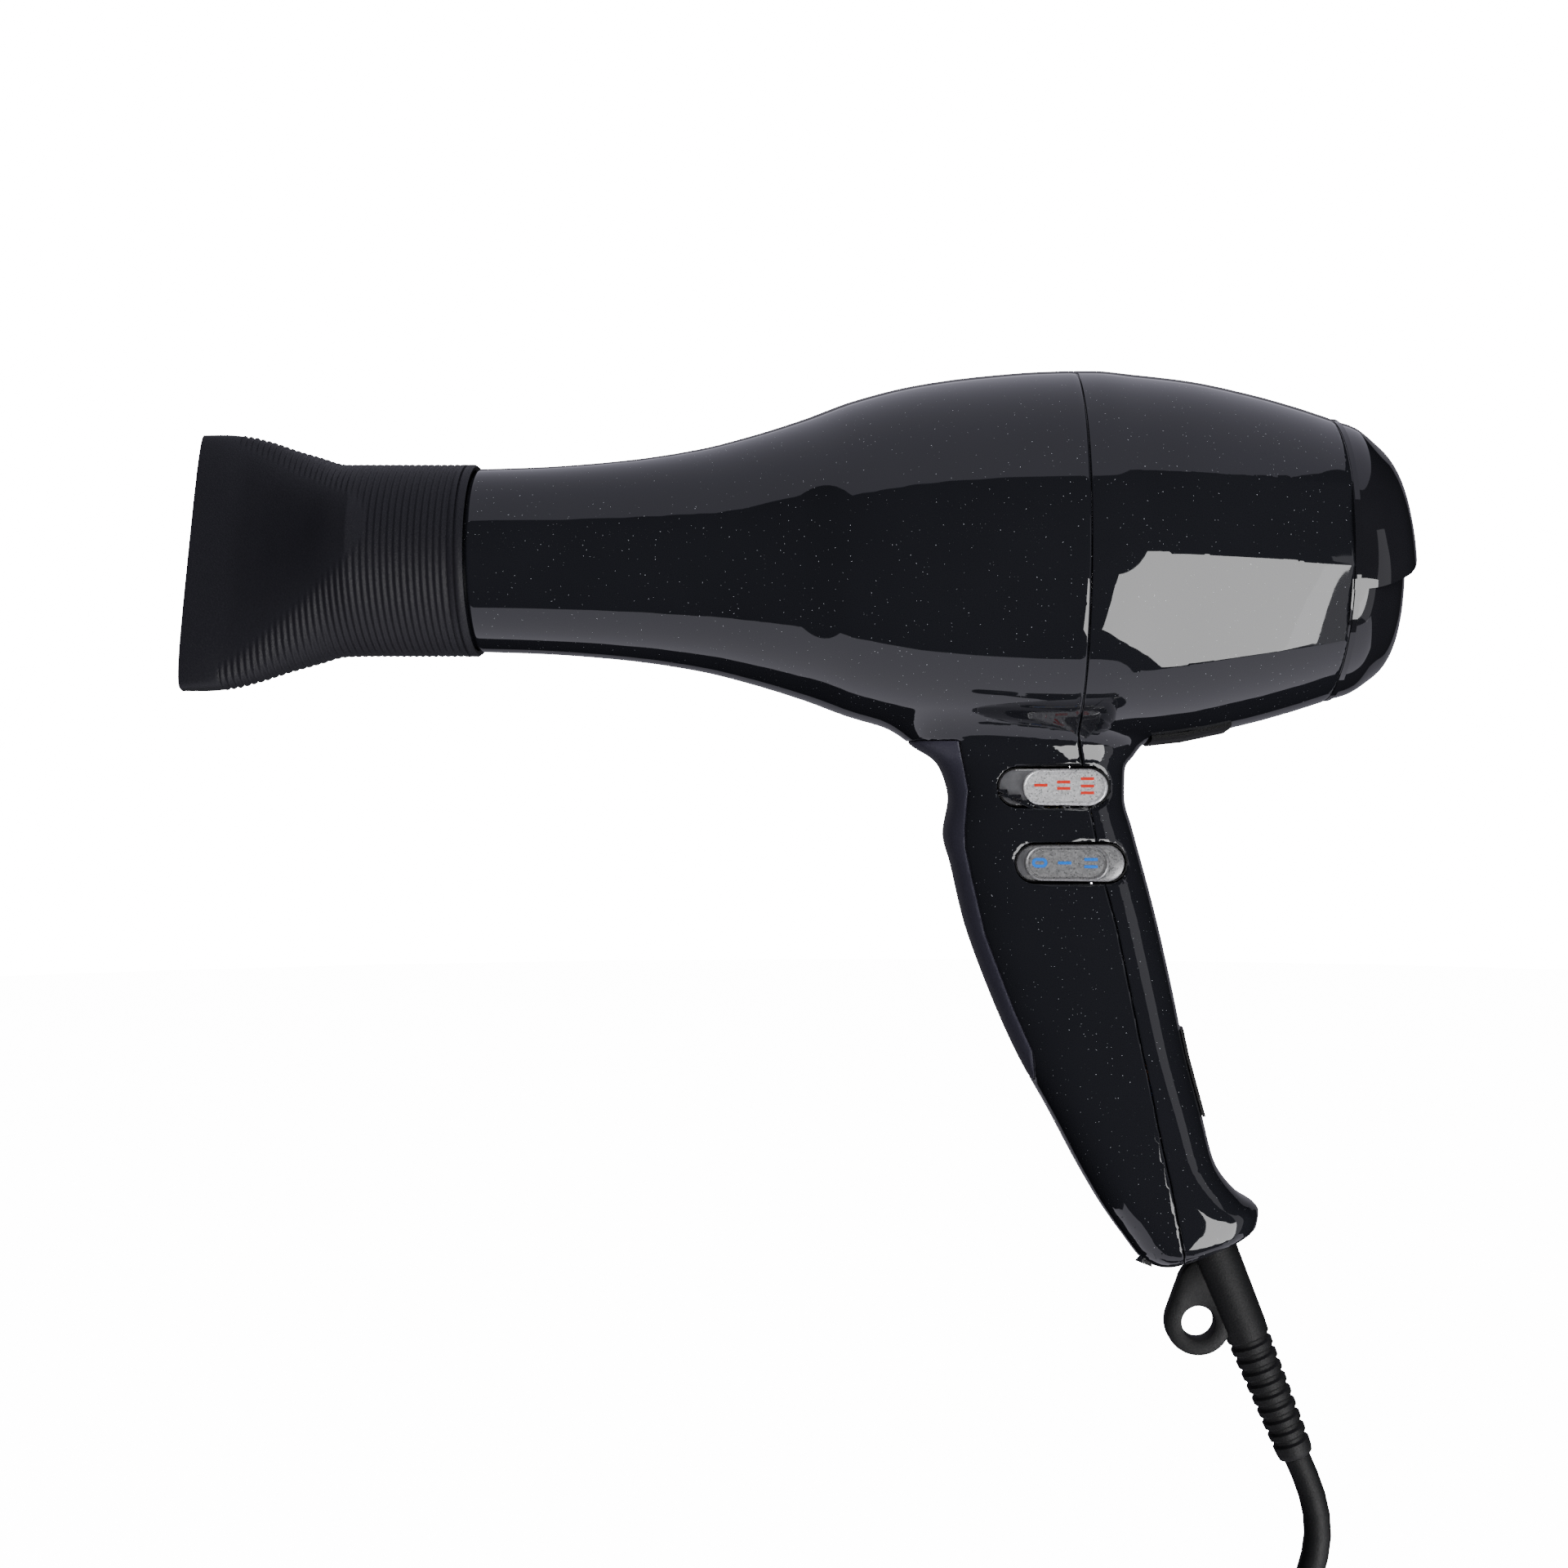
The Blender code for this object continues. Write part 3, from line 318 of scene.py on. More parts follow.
def slab(form, length, thick, width, at, bevel, turn=0.0, segments=2):
    """A box with bevelled edges."""
    place = Matrix.Translation(at) @ Matrix.Rotation(turn, 4, "Y")
    cube = bmesh.ops.create_cube(form, size=1)["verts"]
    bmesh.ops.scale(form, verts=cube, vec=(length, thick, width))
    bmesh.ops.transform(form, verts=cube, matrix=place)
    edges = list({e for v in cube for e in v.link_edges})
    if bevel:
        bmesh.ops.bevel(form, geom=edges, offset=bevel, segments=segments, affect="EDGES",
                        profile=.5, material=-1)


def through(points, spacing):
    """Evenly spaced points on a smooth curve through the route's own points."""
    route = [Vector(p) for p in points]
    ends = [2 * route[0] - route[1], *route, 2 * route[-1] - route[-2]]
    fine = []
    for a, b, c, d in zip(ends, ends[1:], ends[2:], ends[3:]):
        for i in range(20):
            t = i / 20
            fine.append(0.5 * (2 * b + (c - a) * t + (2 * a - 5 * b + 4 * c - d) * t * t
                               + (3 * b - a - 3 * c + d) * t ** 3))
    fine.append(route[-1])
    walked = np.cumsum([0] + [(q - p).length for p, q in zip(fine, fine[1:])])
    even = np.linspace(0, walked[-1], max(3, round(walked[-1] / spacing)))
    return [tuple(p) for p in np.array([np.interp(even, walked, axis)
                                        for axis in np.array(fine).T]).T]


# ---------------------------------------------------------------- shader maths
class Value:
    """A socket that can be added, multiplied and compared; each step is a Math node."""

    def __init__(self, finish, socket):
        self.finish = finish
        self.socket = socket

    def math(self, operation, *others):
        return self.finish.node("ShaderNodeMath", {"operation": operation}, self, *others)

    def __add__(self, other):
        return self.math("ADD", other)

    def __sub__(self, other):
        return self.math("SUBTRACT", other)

    def __mul__(self, other):
        return self.math("MULTIPLY", other)

    def __lt__(self, other):
        return self.math("LESS_THAN", other)

    def __gt__(self, other):
        return self.math("GREATER_THAN", other)

    def __rsub__(self, other):
        return self.finish.node("ShaderNodeMath", {"operation": "SUBTRACT"}, other, self)

    __radd__ = __add__
    __rmul__ = __mul__


class Finish:
    """One material and the nodes that drive its shader."""

    def __init__(self, name, **constants):
        self.material = bpy.data.materials.get(name) or bpy.data.materials.new(name)
        self.material.use_nodes = True
        self.tree = self.material.node_tree
        self.tree.nodes.clear()
        surface = self.node("ShaderNodeBsdfPrincipled")
        self.node("ShaderNodeOutputMaterial", None, surface)
        self.shader = surface.socket.node
        for socket, value in constants.items():
            self.set(socket.replace("_", " ").title().replace("Ior", "IOR"), value)
        self.place = self.node("ShaderNodeTexCoord", output="Object")

    def link(self, value, socket):
        if isinstance(value, Value):
            self.tree.links.new(value.socket, socket)
        elif isinstance(value, (tuple, list)) and len(value) == 3 and socket.type == "RGBA":
            socket.default_value = (*value, 1)
        else:
            socket.default_value = value

    def node(self, kind, settings=None, *values, output=0, **named):
        made = self.tree.nodes.new(kind)
        for key, setting in (settings or {}).items():
            setattr(made, key, setting)
        for value, socket in zip(values, [s for s in made.inputs if s.enabled]):
            self.link(value, socket)
        for key, value in named.items():
            self.link(value, made.inputs[key.replace("_", " ")])
        return Value(self, made.outputs[output]) if made.outputs else None

    def set(self, socket, value):
        self.link(value, self.shader.inputs[socket])

    def noise(self, scale, detail=2.0, rough=.5, place=None):
        return self.node("ShaderNodeTexNoise", None, Vector=place or self.place, Scale=scale,
                         Detail=detail, Roughness=rough)

    def cells(self, scale, output="Distance"):
        return self.node("ShaderNodeTexVoronoi", None, Vector=self.place, Scale=scale,
                         output=output)

    def chance(self, scale, channel):
        """A random value for each cell."""
        return self.node("ShaderNodeSeparateColor", None, self.cells(scale, "Color"),
                         output=channel)

    def stretched(self, scale):
        return self.node("ShaderNodeMapping", None, Vector=self.place, Scale=scale)

    def mix(self, mask, low, high):
        return self.node("ShaderNodeMix", {"data_type": "RGBA"}, mask, low, high,
                         output=COLOUR_RESULT)

    def shades(self, mask, tone, low, high=1.0):
        """Varies the base colour between two levels of a tone."""
        self.set("Base Color", self.mix(mask, tuple(c * low for c in tone),
                                        tuple(min(1, c * high) for c in tone)))

    def bump(self, height, depth):
        self.set("Normal", self.node("ShaderNodeBump", None, Height=height, Distance=depth,
                                     Strength=1.0, output="Normal"))


def plain(name, tone, rough, spread, grain, depth, dark=.7, **more):
    """A finish with fine grain, uneven gloss and slightly uneven colour."""
    made = Finish(name, **more)
    cloud = made.noise(grain * .08, 4, .6)
    fine = made.noise(grain, 3, .6)
    made.shades(cloud, tone, dark)
    made.set("Roughness", (cloud - .5) * spread + (fine - .5) * spread * .5 + rough)
    made.bump(fine, depth)


def make_finishes():
    tones = sizes("finishes")
    gloss = Finish("gloss_black")
    shine = gloss.chance(FLAKE_CELLS, "Green")
    flakes = ((gloss.cells(FLAKE_CELLS) < .11) * (gloss.chance(FLAKE_CELLS, "Red") > .45)
              * (shine * shine * .42 + .02))
    base = gloss.mix(gloss.noise(60, 3), tuple(c * .8 for c in tones.gloss), tuple(tones.gloss))
    gloss.set("Base Color", gloss.mix(flakes, base, tuple(tones.flake)))
    smear = gloss.noise(90, 4, .6)
    gloss.set("Roughness", smear * .03 + flakes * .3 + .012)
    gloss.bump(gloss.noise(40, 2), .00002)

    cap = Finish("cap_black")
    cap.set("Base Color", cap.mix(cap.noise(70, 3), (.0070, .0070, .0085), (.0095, .0095, .0120)))
    cap.set("Roughness", cap.noise(110, 4, .6) * .04 + .015)
    cap.bump(cap.noise(60, 2), .00003)

    plain("grip_satin", tones.grip, .42, .10, 4200, .00003, dark=.85,
          specular_ior_level=.22)
    nozzle = Finish("nozzle_black", specular_ior_level=.25)
    grain = nozzle.noise(3200, 3, .7)
    pits = nozzle.cells(2400)
    nozzle.shades(nozzle.noise(90, 4, .6), tones.nozzle, .8)
    nozzle.set("Roughness", (grain - .5) * .25 + .52)
    nozzle.bump(grain + pits * .6, .00006)

    # The second copy, at .42 of the brightness, is the same silver paint darkened for the speed
    # rocker: painted shade standing in for the darker reflection it catches, not a grey paint.
    for name, level in (("silver_paint", 1.1), ("silver_in_painted_shade", .42)):
        silver = Finish(name, metallic=.55)
        speck = silver.chance(2600, "Red")
        silver.shades(speck, tuple(c * level for c in tones.silver), .72, 1.2)
        silver.set("Roughness", speck * .16 + .26)
        silver.bump(speck, .00001)

    for name, tone in (("mark_red", tones.hot), ("mark_blue", tones.cool)):
        plain(name, tone, .38, .08, 2600, .00001, dark=.9)
    plain("matt_black", (.0060, .0060, .0066), .52, .12, 2600, .00004, specular_ior_level=.25)
    plain("rubber_black", (.0050, .0050, .0056), .60, .14, 2200, .00007,
          specular_ior_level=.3)
    plain("mica", (.46, .35, .20), .45, .20, 700, .00006, dark=.75)
    plain("carbon", (.030, .030, .032), .45, .20, 1800, .00004)
    plain("ceramic", (.74, .71, .63), .50, .14, 900, .00005, dark=.88)
    plain("capacitor_yellow", (.66, .45, .06), .32, .10, 1200, .00002, dark=.9)
    for name, tone in (("lead_brown", (.14, .055, .025)), ("lead_blue", (.03, .09, .36)),
                       ("lead_white", (.70, .69, .64)), ("lead_red", (.42, .03, .025))):
        plain(name, tone, .42, .10, 1500, .00003, dark=.9)
    for name, tone, rough in (("steel", (.56, .56, .57), .26), ("copper", (.74, .37, .20), .30)):
        metal = Finish(name, metallic=1.0)
        brushed = metal.noise(1, 5, .7, place=metal.stretched((60, 2400, 2400)))
        metal.shades(metal.noise(160, 4), tone, .82)
        metal.set("Roughness", brushed * .22 + rough - .08)
        metal.bump(brushed, .00002)

    # A darker, less metallic copy of the silver paint for the sunk left ends of the rockers:
    # painted shade on the same silver plastic where it turns away from the light.
    shaded = Finish("silver_sunk_painted_shade", metallic=.35)
    shaded.set("Base Color", shaded.mix(shaded.noise(900, 3), (.10, .10, .108), (.16, .16, .172)))
    shaded.set("Roughness", shaded.noise(2600, 2) * .15 + .25)
    shaded.bump(shaded.noise(3000, 2), .00001)
    for name, level in (("studio_floor", 15), ("studio_wall", 17)):
        pale = Finish(name, roughness=.9, base_color=(.9, .9, .9), emission_strength=level)
        pale.set("Emission Color", pale.mix(pale.noise(2, 2), (.97, .97, .97), (1, 1, 1)))


# ---------------------------------------------------------------- the housing's surface
def handle_distance(p):
    """Distance from the handle's skin, below zero inside it."""
    fx, fd, rx, rd, wide = HANDLE_FINE
    fx, rx, fz, rz = fx * DEPTH, rx * DEPTH, AXIS - fd * DROP, AXIS - rd * DROP
    x, y, z = p.T
    low, high = np.zeros(len(p)), np.full(len(p), HANDLE_T[-1])

    def ends(t):
        return [np.interp(t, HANDLE_T, line) for line in (fx, rx, fz, rz)]
    for _ in range(14):
        t = (low + high) / 2
        a, b, za, zb = ends(t)
        above = z > za + (zb - za) * (x - a) / (b - a)
        high = np.where(above, t, high)
        low = np.where(above, low, t)
    t = (low + high) / 2
    a, b, za, zb = ends(t)
    long = np.hypot(b - a, zb - za)
    half_long, half_wide = long / 2, np.interp(t, HANDLE_T, wide) * HALF
    u = np.abs(((x - (a + b) / 2) * (b - a) + (z - (za + zb) / 2) * (zb - za)) / long / half_long)
    v = np.abs(y) / half_wide
    power = 2.8
    s = np.maximum((u ** power + v ** power) ** (1 / power), 1e-4)
    steep = np.hypot((u / s) ** (power - 1) / half_long, (v / s) ** (power - 1) / half_wide)
    side = (s - 1) / steep
    a, b, za, zb = fx[-1], rx[-1], fz[-1], rz[-1]
    foot = (za + (zb - za) * (x - a) / (b - a) - z) * (b - a) / math.hypot(b - a, zb - za)
    return blended(blended(side, foot, -.0022), z - (AXIS - .020), -.002)


def blended(first, second, radius):
    """Smooth union of two distances; with a negative radius their smooth intersection."""
    sign = np.sign(radius)
    radius = np.abs(radius)
    share = np.clip(.5 + .5 * sign * (second - first) / radius, 0, 1)
    return second + (first - second) * share - sign * radius * share * (1 - share)


def body_distance(p):
    """Distance from the barrel and the rear body with their side flats."""
    x, y, z = p[:, 0], p[:, 1], p[:, 2] - AXIS
    radius = body_radius(x)
    angle = np.arctan2(z, np.abs(y))
    strong = smoothstep(x, .0020, .0250) * sizes("housing").flat
    creases = [np.arcsin(np.clip((a + (b - a) * x / REAR) / radius, -.99, .99))
               for a, b in CREASES]
    share = np.ones(len(p))
    for high, low in zip(creases, creases[1:]):
        half, middle = (high - low) / 2, (high + low) / 2
        inside = (angle < high) & (angle > low)
        share = np.where(inside, np.cos(half) / np.cos(angle - middle), share)
    return np.hypot(y, z) - radius * (1 - strong * (1 - share))


def skin_distance(p):
    body = body_distance(p)
    handle = np.full(len(p), .1)
    near = p[:, 2] < AXIS - .012
    handle[near] = handle_distance(p[near])
    made = sizes("housing")
    radius = made.blend + (made.crease - made.blend) * smoothstep(p[:, 0], -.010, .018)
    return blended(body, handle, radius)


def laid_on_skin(points, lift=0.0, rounds=4):
    """Moves points along the slope until they lie on the skin, lifted as asked."""
    p = np.array(points, float)
    for _ in range(rounds):
        here = skin_distance(p)
        slope = np.stack([skin_distance(p + step) for step in np.eye(3) * 2e-6], 1)
        slope = (slope - here[:, None]) / 2e-6
        p -= ((here - lift) / np.maximum((slope ** 2).sum(1), .2))[:, None] * slope
    return p


def line_at(line, z):
    """The x of a downward line of handle shares at the height z."""
    xs, zs = np.array([at_handle(p) for p in line]).T
    return np.interp(-z, -zs, xs)


def past_grip(x, z):
    """Distance past the outline of the grip strip, below zero inside it."""
    top, end = at_handle(GRIP_LINE[0])[1], at_handle(GRIP_LINE[-1])[1]
    return np.maximum.reduce([x - line_at(GRIP_LINE, z), z - top, end - z])


def fading(distance, reach):
    """Falls from 1 to 0 over the reach."""
    return 1 - np.clip(distance / reach, 0, 1)


def sliced(form, faces, point, normal):
    """Cuts the given faces along a plane and returns the faces on both sides."""
    if not faces:
        return faces
    parts = {*faces, *(e for f in faces for e in f.edges), *(v for f in faces for v in f.verts)}
    cut = bmesh.ops.bisect_plane(form, geom=list(parts), dist=1e-7, plane_co=point,
                                 plane_no=normal)
    kept = {f for f in faces if f.is_valid}
    return list(kept | {g for g in cut["geom"] if isinstance(g, bmesh.types.BMFace)})


def sorted_by(faces, test):
    """The faces whose middle passes the test, and the others."""
    inside, outside = [], []
    for face in faces:
        (inside if test(face.calc_center_median()) else outside).append(face)
    return inside, outside


def slice_line(form, line, shifts, reach=.0035):
    """Cuts the mesh along a downward line of (x, z) points and along its shifted copies."""
    xs, zs = np.array(line).T

    def line_x(z):
        return np.interp(-z, -zs, xs)
    near, _ = sorted_by(form.faces, lambda c: zs[-1] - reach < c.z < zs[0] + reach
                        and abs(c.x - line_x(c.z)) < reach)
    for z in zs:
        band, rest = sorted_by(near, lambda c: abs(c.z - z) < reach)
        near = rest + sliced(form, band, (0, 0, z), (0, 0, 1))
    for (xa, za), (xb, zb) in zip(line, line[1:]):
        band, rest = sorted_by(near, lambda c: zb < c.z < za)
        for shift in shifts:
            band = sliced(form, band, (xa + shift, 0, za), (za - zb, 0, xb - xa))
        near = rest + band


def slice_oval(form, centre, points):
    """Cuts an outward-turning outline into the near side and returns the faces inside it."""
    x0, z0 = centre
    reach = max(abs(x) for x, _ in points) + .004
    inside, _ = sorted_by(form.faces, lambda c: c.y < -.006 and abs(c.x - x0) < reach
                          and abs(c.z - z0) < reach)
    for (xa, za), (xb, zb) in zip(points, points[1:] + points[:1]):
        normal = Vector((zb - za, 0, xa - xb)).normalized()
        corner = Vector((x0 + xa, 0, z0 + za))
        faces = sliced(form, inside, corner, normal)
        inside, _ = sorted_by(faces, lambda c: (c - corner).dot(normal) < 0)
    return inside


def handle_form(form):
    """A coarse handle, closed, that starts inside the barrel."""
    rings = []
    for fx, fd, rx, rd, wide in HANDLE_LINE:
        front, rear = Vector((fx * DEPTH, 0, AXIS - fd * DROP)), Vector((rx * DEPTH, 0,
                                                                        AXIS - rd * DROP))
        middle, along = (front + rear) / 2, (rear - front) / 2
        rings.append([middle + along * math.cos(a) * .98 + Vector((0, wide * HALF * math.sin(a), 0))
                      for a in turns(24)])
    skin(form, rings)


def whole_skin():
    """Both housings and the handle as one even mesh whose corners lie on the skin."""
    form = bmesh.new()
    line = [(-.156, 0), *((x, body_radius(x)) for x in np.linspace(-.156, .069, 46)), (.069, 0)]
    turned(form, line, 72, closed=False)
    handle_form(form)
    outward(form)
    mesh = bpy.data.meshes.new("skin")
    form.to_mesh(mesh)
    rough = added("skin", mesh)
    even = rough.modifiers.new("even", "REMESH")
    even.mode = "VOXEL"
    even.voxel_size = sizes("housing").grain
    seen = rough.evaluated_get(bpy.context.evaluated_depsgraph_get())
    form.clear()
    form.from_mesh(seen.to_mesh())
    bpy.data.objects.remove(rough)
    bpy.data.meshes.remove(mesh)
    settle(form, 0.0)
    bmesh.ops.smooth_vert(form, verts=form.verts, factor=.5, use_axis_x=True, use_axis_y=True,
                          use_axis_z=True)
    settle(form, 0.0)
    return form


def settle(form, lift):
    points = np.array([v.co for v in form.verts])
    for vert, place in zip(form.verts, laid_on_skin(points, lift)):
        vert.co = place


def edge_drops(p):
    """How far each point of the shells is lowered or raised beside seams and openings."""
    made = sizes("housing")
    x, y, z = p.T
    half = GAP / 2
    away = x - line_at(SEAM_LINE, z)
    barrel = z > AXIS - BODY_R + .001
    drop = -made.rim * fading(np.abs(away) - half, SOFT)
    proud = made.lip * (1 + 1.8 * np.clip((z - AXIS) / BODY_R - .8, 0, .2) / .2)
    lip = proud * smoothstep(away, .00010, .0004) * (1 - smoothstep(away, .0009, .0015))
    drop = np.where(barrel & (away > 0), lip, drop)
    drop = np.minimum(drop, -.8 * made.rim * fading(np.abs(past_grip(x, z)) - half, SOFT))
    ends = np.minimum(x - SHOULDER, REAR - x)
    drop = np.minimum(drop, -made.rim * fading(ends, .0006))
    for at in WINDOWS:
        x0, z0 = at_handle(at)
        far = np.hypot(np.maximum(np.abs(x - x0) - .0092, 0), z - z0) - .0052
        rim = -made.rim * 1.6 * fading(far, .0008)
        drop = np.where(y < -.006, np.minimum(drop, rim), drop)
    return drop


def walled(made, thick):
    wall = made.modifiers.new("wall", "SOLIDIFY")
    wall.thickness = thick
    wall.offset = -1
    wall.use_rim = True


def housing_faces():
    """The skin cut at its seams and openings, with each face sorted into its shell."""
    form = whole_skin()
    bend = SEAM_LINE[0][1]
    seam = [at_handle(p) for p in SEAM_LINE]
    half, soft = GAP / 2, GAP / 2 + SOFT
    for x in (SHOULDER, SHOULDER + .0006, -soft, -half, half, .0004, .0009, .0015, REAR - .0006,
              REAR):
        near, _ = sorted_by(form.faces, lambda c: abs(c.x - x) < .004 and
                            (abs(x) > .01 or c.z > AXIS - bend * DROP - .004))
        sliced(form, near, (x, 0, 0), (1, 0, 0))
    slice_line(form, seam, (-soft, -half, half, soft))
    grip = [at_handle(p) for p in GRIP_LINE]
    slice_line(form, grip, (-soft, -half, half, soft))
    for z in (grip[0][1], grip[-1][1]):
        for shift in (-soft, -half, half, soft):
            near, _ = sorted_by(form.faces, lambda c: abs(c.z - z) < .003
                                and c.x < line_at(GRIP_LINE, c.z) + .002)
            sliced(form, near, (0, 0, z + shift), (0, 0, 1))
    gone = set()
    for at in WINDOWS:
        slice_oval(form, at_handle(at), oval(.0304, .0120, 32))
        gone.update(slice_oval(form, at_handle(at), oval(.0288, .0104, 32)))
    for za, zb in CREASES:
        near, _ = sorted_by(form.faces, lambda c: 0 < c.x < REAR
                            and abs(c.z - AXIS - za - (zb - za) * c.x / REAR) < .003)
        sliced(form, near, (0, 0, AXIS + za), (za - zb, 0, REAR))
    places = np.array([v.co for v in form.verts])
    lifted = laid_on_skin(places, edge_drops(laid_on_skin(places, 0, 2)), 3)
    form.faces.ensure_lookup_table()
    middles = np.array([f.calc_center_median() for f in form.faces])
    x, _, z = middles.T
    away, in_grip = x - line_at(SEAM_LINE, z), past_grip(x, z)
    shell = np.where(away < -half, 1, np.where(away > half, 2, 0))
    shell = np.where((shell == 1) & (in_grip < half), np.where(in_grip < -half, 3, 0), shell)
    shell[(x < SHOULDER) | (x > REAR)] = 0
    for face in gone:
        if face.is_valid:
            shell[face.index] = 0
    for vert, place in zip(form.verts, lifted):
        vert.co = place
    return form, shell


def shell_piece(form, shell, which):
    part = form.copy()
    part.faces.ensure_lookup_table()
    spare = [f for f, kind in zip(part.faces, shell) if kind != which]
    bmesh.ops.delete(part, geom=spare, context="FACES")
    bmesh.ops.dissolve_degenerate(part, dist=2e-5, edges=part.edges)
    return part


# ---------------------------------------------------------------- operators
class DRYER_OT_camera(bpy.types.Operator):
    """Places the camera, which looks square at the barrel's side from a little below it"""

    bl_idname = "dryer.camera"
    bl_label = "Camera"

    def execute(self, context):
        camera = added("camera", bpy.data.cameras.new("camera"))
        camera.location = (-.0569, -.531, .0527)
        camera.rotation_euler = (math.radians(90), 0, 0)
        camera.data.lens = sizes("stage").lens
        camera.data.sensor_width = 36
        camera.data.shift_x = -.0417
        context.scene.camera = camera
        return {"FINISHED"}


BOOT_START = Vector((.0355, 0, -.0641))
BOOT_WAY = Vector((.3746, 0, -.9272))
BOOT_LENGTH = .060
COIL = Vector((.0320, 0, -.2250))
OUT, MID, IN = .0481, .0420, .0359
COIL_SLOTS = ((OUT, -.0035), (OUT, -.0105), (MID, -.0070), (IN, -.0105), (IN, -.0035), (MID, 0),
              (IN, .0035), (IN, .0105), (MID, .0070), (OUT, .0105), (OUT, .0035))
COIL_TOUCH = .0558           # where the cord comes to the coil and leaves it


def eased(value, low, high):
    """A step of even curvature from 0 to 1."""
    t = min(1, max(0, (value - low) / (high - low)))
    return 2 * t * t if t < .5 else 1 - 2 * (1 - t) ** 2


def coil_points():
    """Turns side by side and on each other, wound from the top and left at the front."""
    start, end, change = 90, 150 + 360 * 9, 75
    points = []
    for angle in range(start + 8, end, 8):
        radius, across = COIL_SLOTS[0]
        for k, (r, y) in enumerate(COIL_SLOTS[1:]):
            move = 395 + (360 - change) * k
            share = eased(angle, move, move + change)
            if share:
                before = COIL_SLOTS[k]
                radius, across = before[0] + (r - before[0]) * share, (
                    before[1] + (y - before[1]) * share)
        out = max(1 - eased(angle, start, start + 60), eased(angle, end - 70, end))
        radius += (COIL_TOUCH - radius) * out
        turn = math.radians(angle)
        points.append((COIL.x + radius * math.cos(turn), across,
                       COIL.z + radius * math.sin(turn)))
    return points


class DRYER_OT_cord(bpy.types.Operator):
    """Draws the mains cord from the strain relief through its tied coil to the plug"""

    bl_idname = "dryer.cord"
    bl_label = "Mains cord"

    def execute(self, context):
        made = sizes("cord")
        tip = BOOT_START + BOOT_WAY * (BOOT_LENGTH + GAP)
        upper = [tip, (.0619, 0, -.1295), (.0635, 0, -.1400), (.0608, 0, -.1520),
                 (.0535, -.0010, -.1615), (.0430, -.0025, -.1675), (.0320, -.0035, -.1692)]
        lower = [(-.0163, .0035, -.1971), (-.0225, .0034, -.2080), (-.0295, .0025, -.2190),
                 (-.0380, .0010, -.2310), (-.0435, 0, -.2430), (-.0450, 0, -.2560)]
        points = [*through(upper, .005), *coil_points(), *through(lower, .005)]
        curve = bpy.data.curves.new("mains_cord", "CURVE")
        curve.dimensions = "3D"
        curve.bevel_depth = made.diameter / 2
        curve.bevel_resolution = 3
        curve.use_fill_caps = True
        line = curve.splines.new("POLY")
        line.points.add(len(points) - 1)
        for point, place in zip(line.points, points):
            point.co = (*place, 1)
        line.use_smooth = True
        cord = added("mains_cord", curve)
        curve.materials.append(bpy.data.materials["rubber_black"])
        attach(cord, "housing")
        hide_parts("cord_upper", "cord_coil", "cord_lower")
        return {"FINISHED"}


class DRYER_OT_plug(bpy.types.Operator):
    """Makes the moulded plug with its ribbed grip"""

    bl_idname = "dryer.plug"
    bl_label = "Plug"

    def execute(self, context):
        form = bmesh.new()
        x0, top = -.0450, -.2566
        line = [(0, .0052, .0052, 2), (.0012, .0058, .0058, 2), (.006, .0064, .0064, 2),
                (.012, .0078, .0074, 2), (.0175, .0105, .0090, 2.3), (.0205, .0135, .0105, 2.7),
                (.0225, .0160, .0118, 3), (.0250, .0171, .0123, 3.2)]
        for k in range(7):
            z = .0268 + k * .0026
            line += [(z, .0172, .0124, 3.4), (z + .0004, .0166, .0118, 3.4),
                     (z + .0012, .0166, .0118, 3.4), (z + .0016, .0173, .0124, 3.4)]
        line += [(.0480, .0175, .0125, 3.6), (.0505, .0174, .0124, 3.6), (.0516, .0170, .0120, 3.5),
                 (.0520, .0160, .0111, 3.4)]
        skin(form, [[(x0 + wide * u, deep * v, top - down)
                     for u, v in (squared(a, power) for a in turns(56))]
                    for down, wide, deep, power in line])
        outward(form)
        piece("mains_plug", form, "housing", "rubber_black", ("plug_body",))
        return {"FINISHED"}


class DRYER_OT_housings(bpy.types.Operator):
    """Makes the two glossy shells and the satin strip of the grip"""

    bl_idname = "dryer.housings"
    bl_label = "Housings and grip"

    def execute(self, context):
        form, shell = housing_faces()
        for name, which, slot, stands_for, sharp, thick in (
                ("front_shell", 1, "gloss_black", "front_housing", 60, WALL),
                ("rear_shell", 2, "gloss_black", "rear_housing", 26, WALL),
                ("grip_cover", 3, "grip_satin", "grip_strip", 60, .0011)):
            walled(piece(name, shell_piece(form, shell, which), "housing", slot, (stands_for,),
                         sharp), thick)
        form.free()
        return {"FINISHED"}


class DRYER_OT_spigot(bpy.types.Operator):
    """Makes the barrel's front spigot, which carries the nozzle"""

    bl_idname = "dryer.spigot"
    bl_label = "Spigot"

    def execute(self, context):
        form = bmesh.new()
        r, end = MOUTH_R - .0012, SHOULDER - .020
        turned(form, [(SHOULDER + .002, r), (end + .0005, r), (end, r - .0004), (end, r - .0015),
                      (end + .0004, r - .0019), (SHOULDER + .002, r - .0019)])
        outward(form)
        piece("front_spigot", form, "housing", "gloss_black")
        return {"FINISHED"}


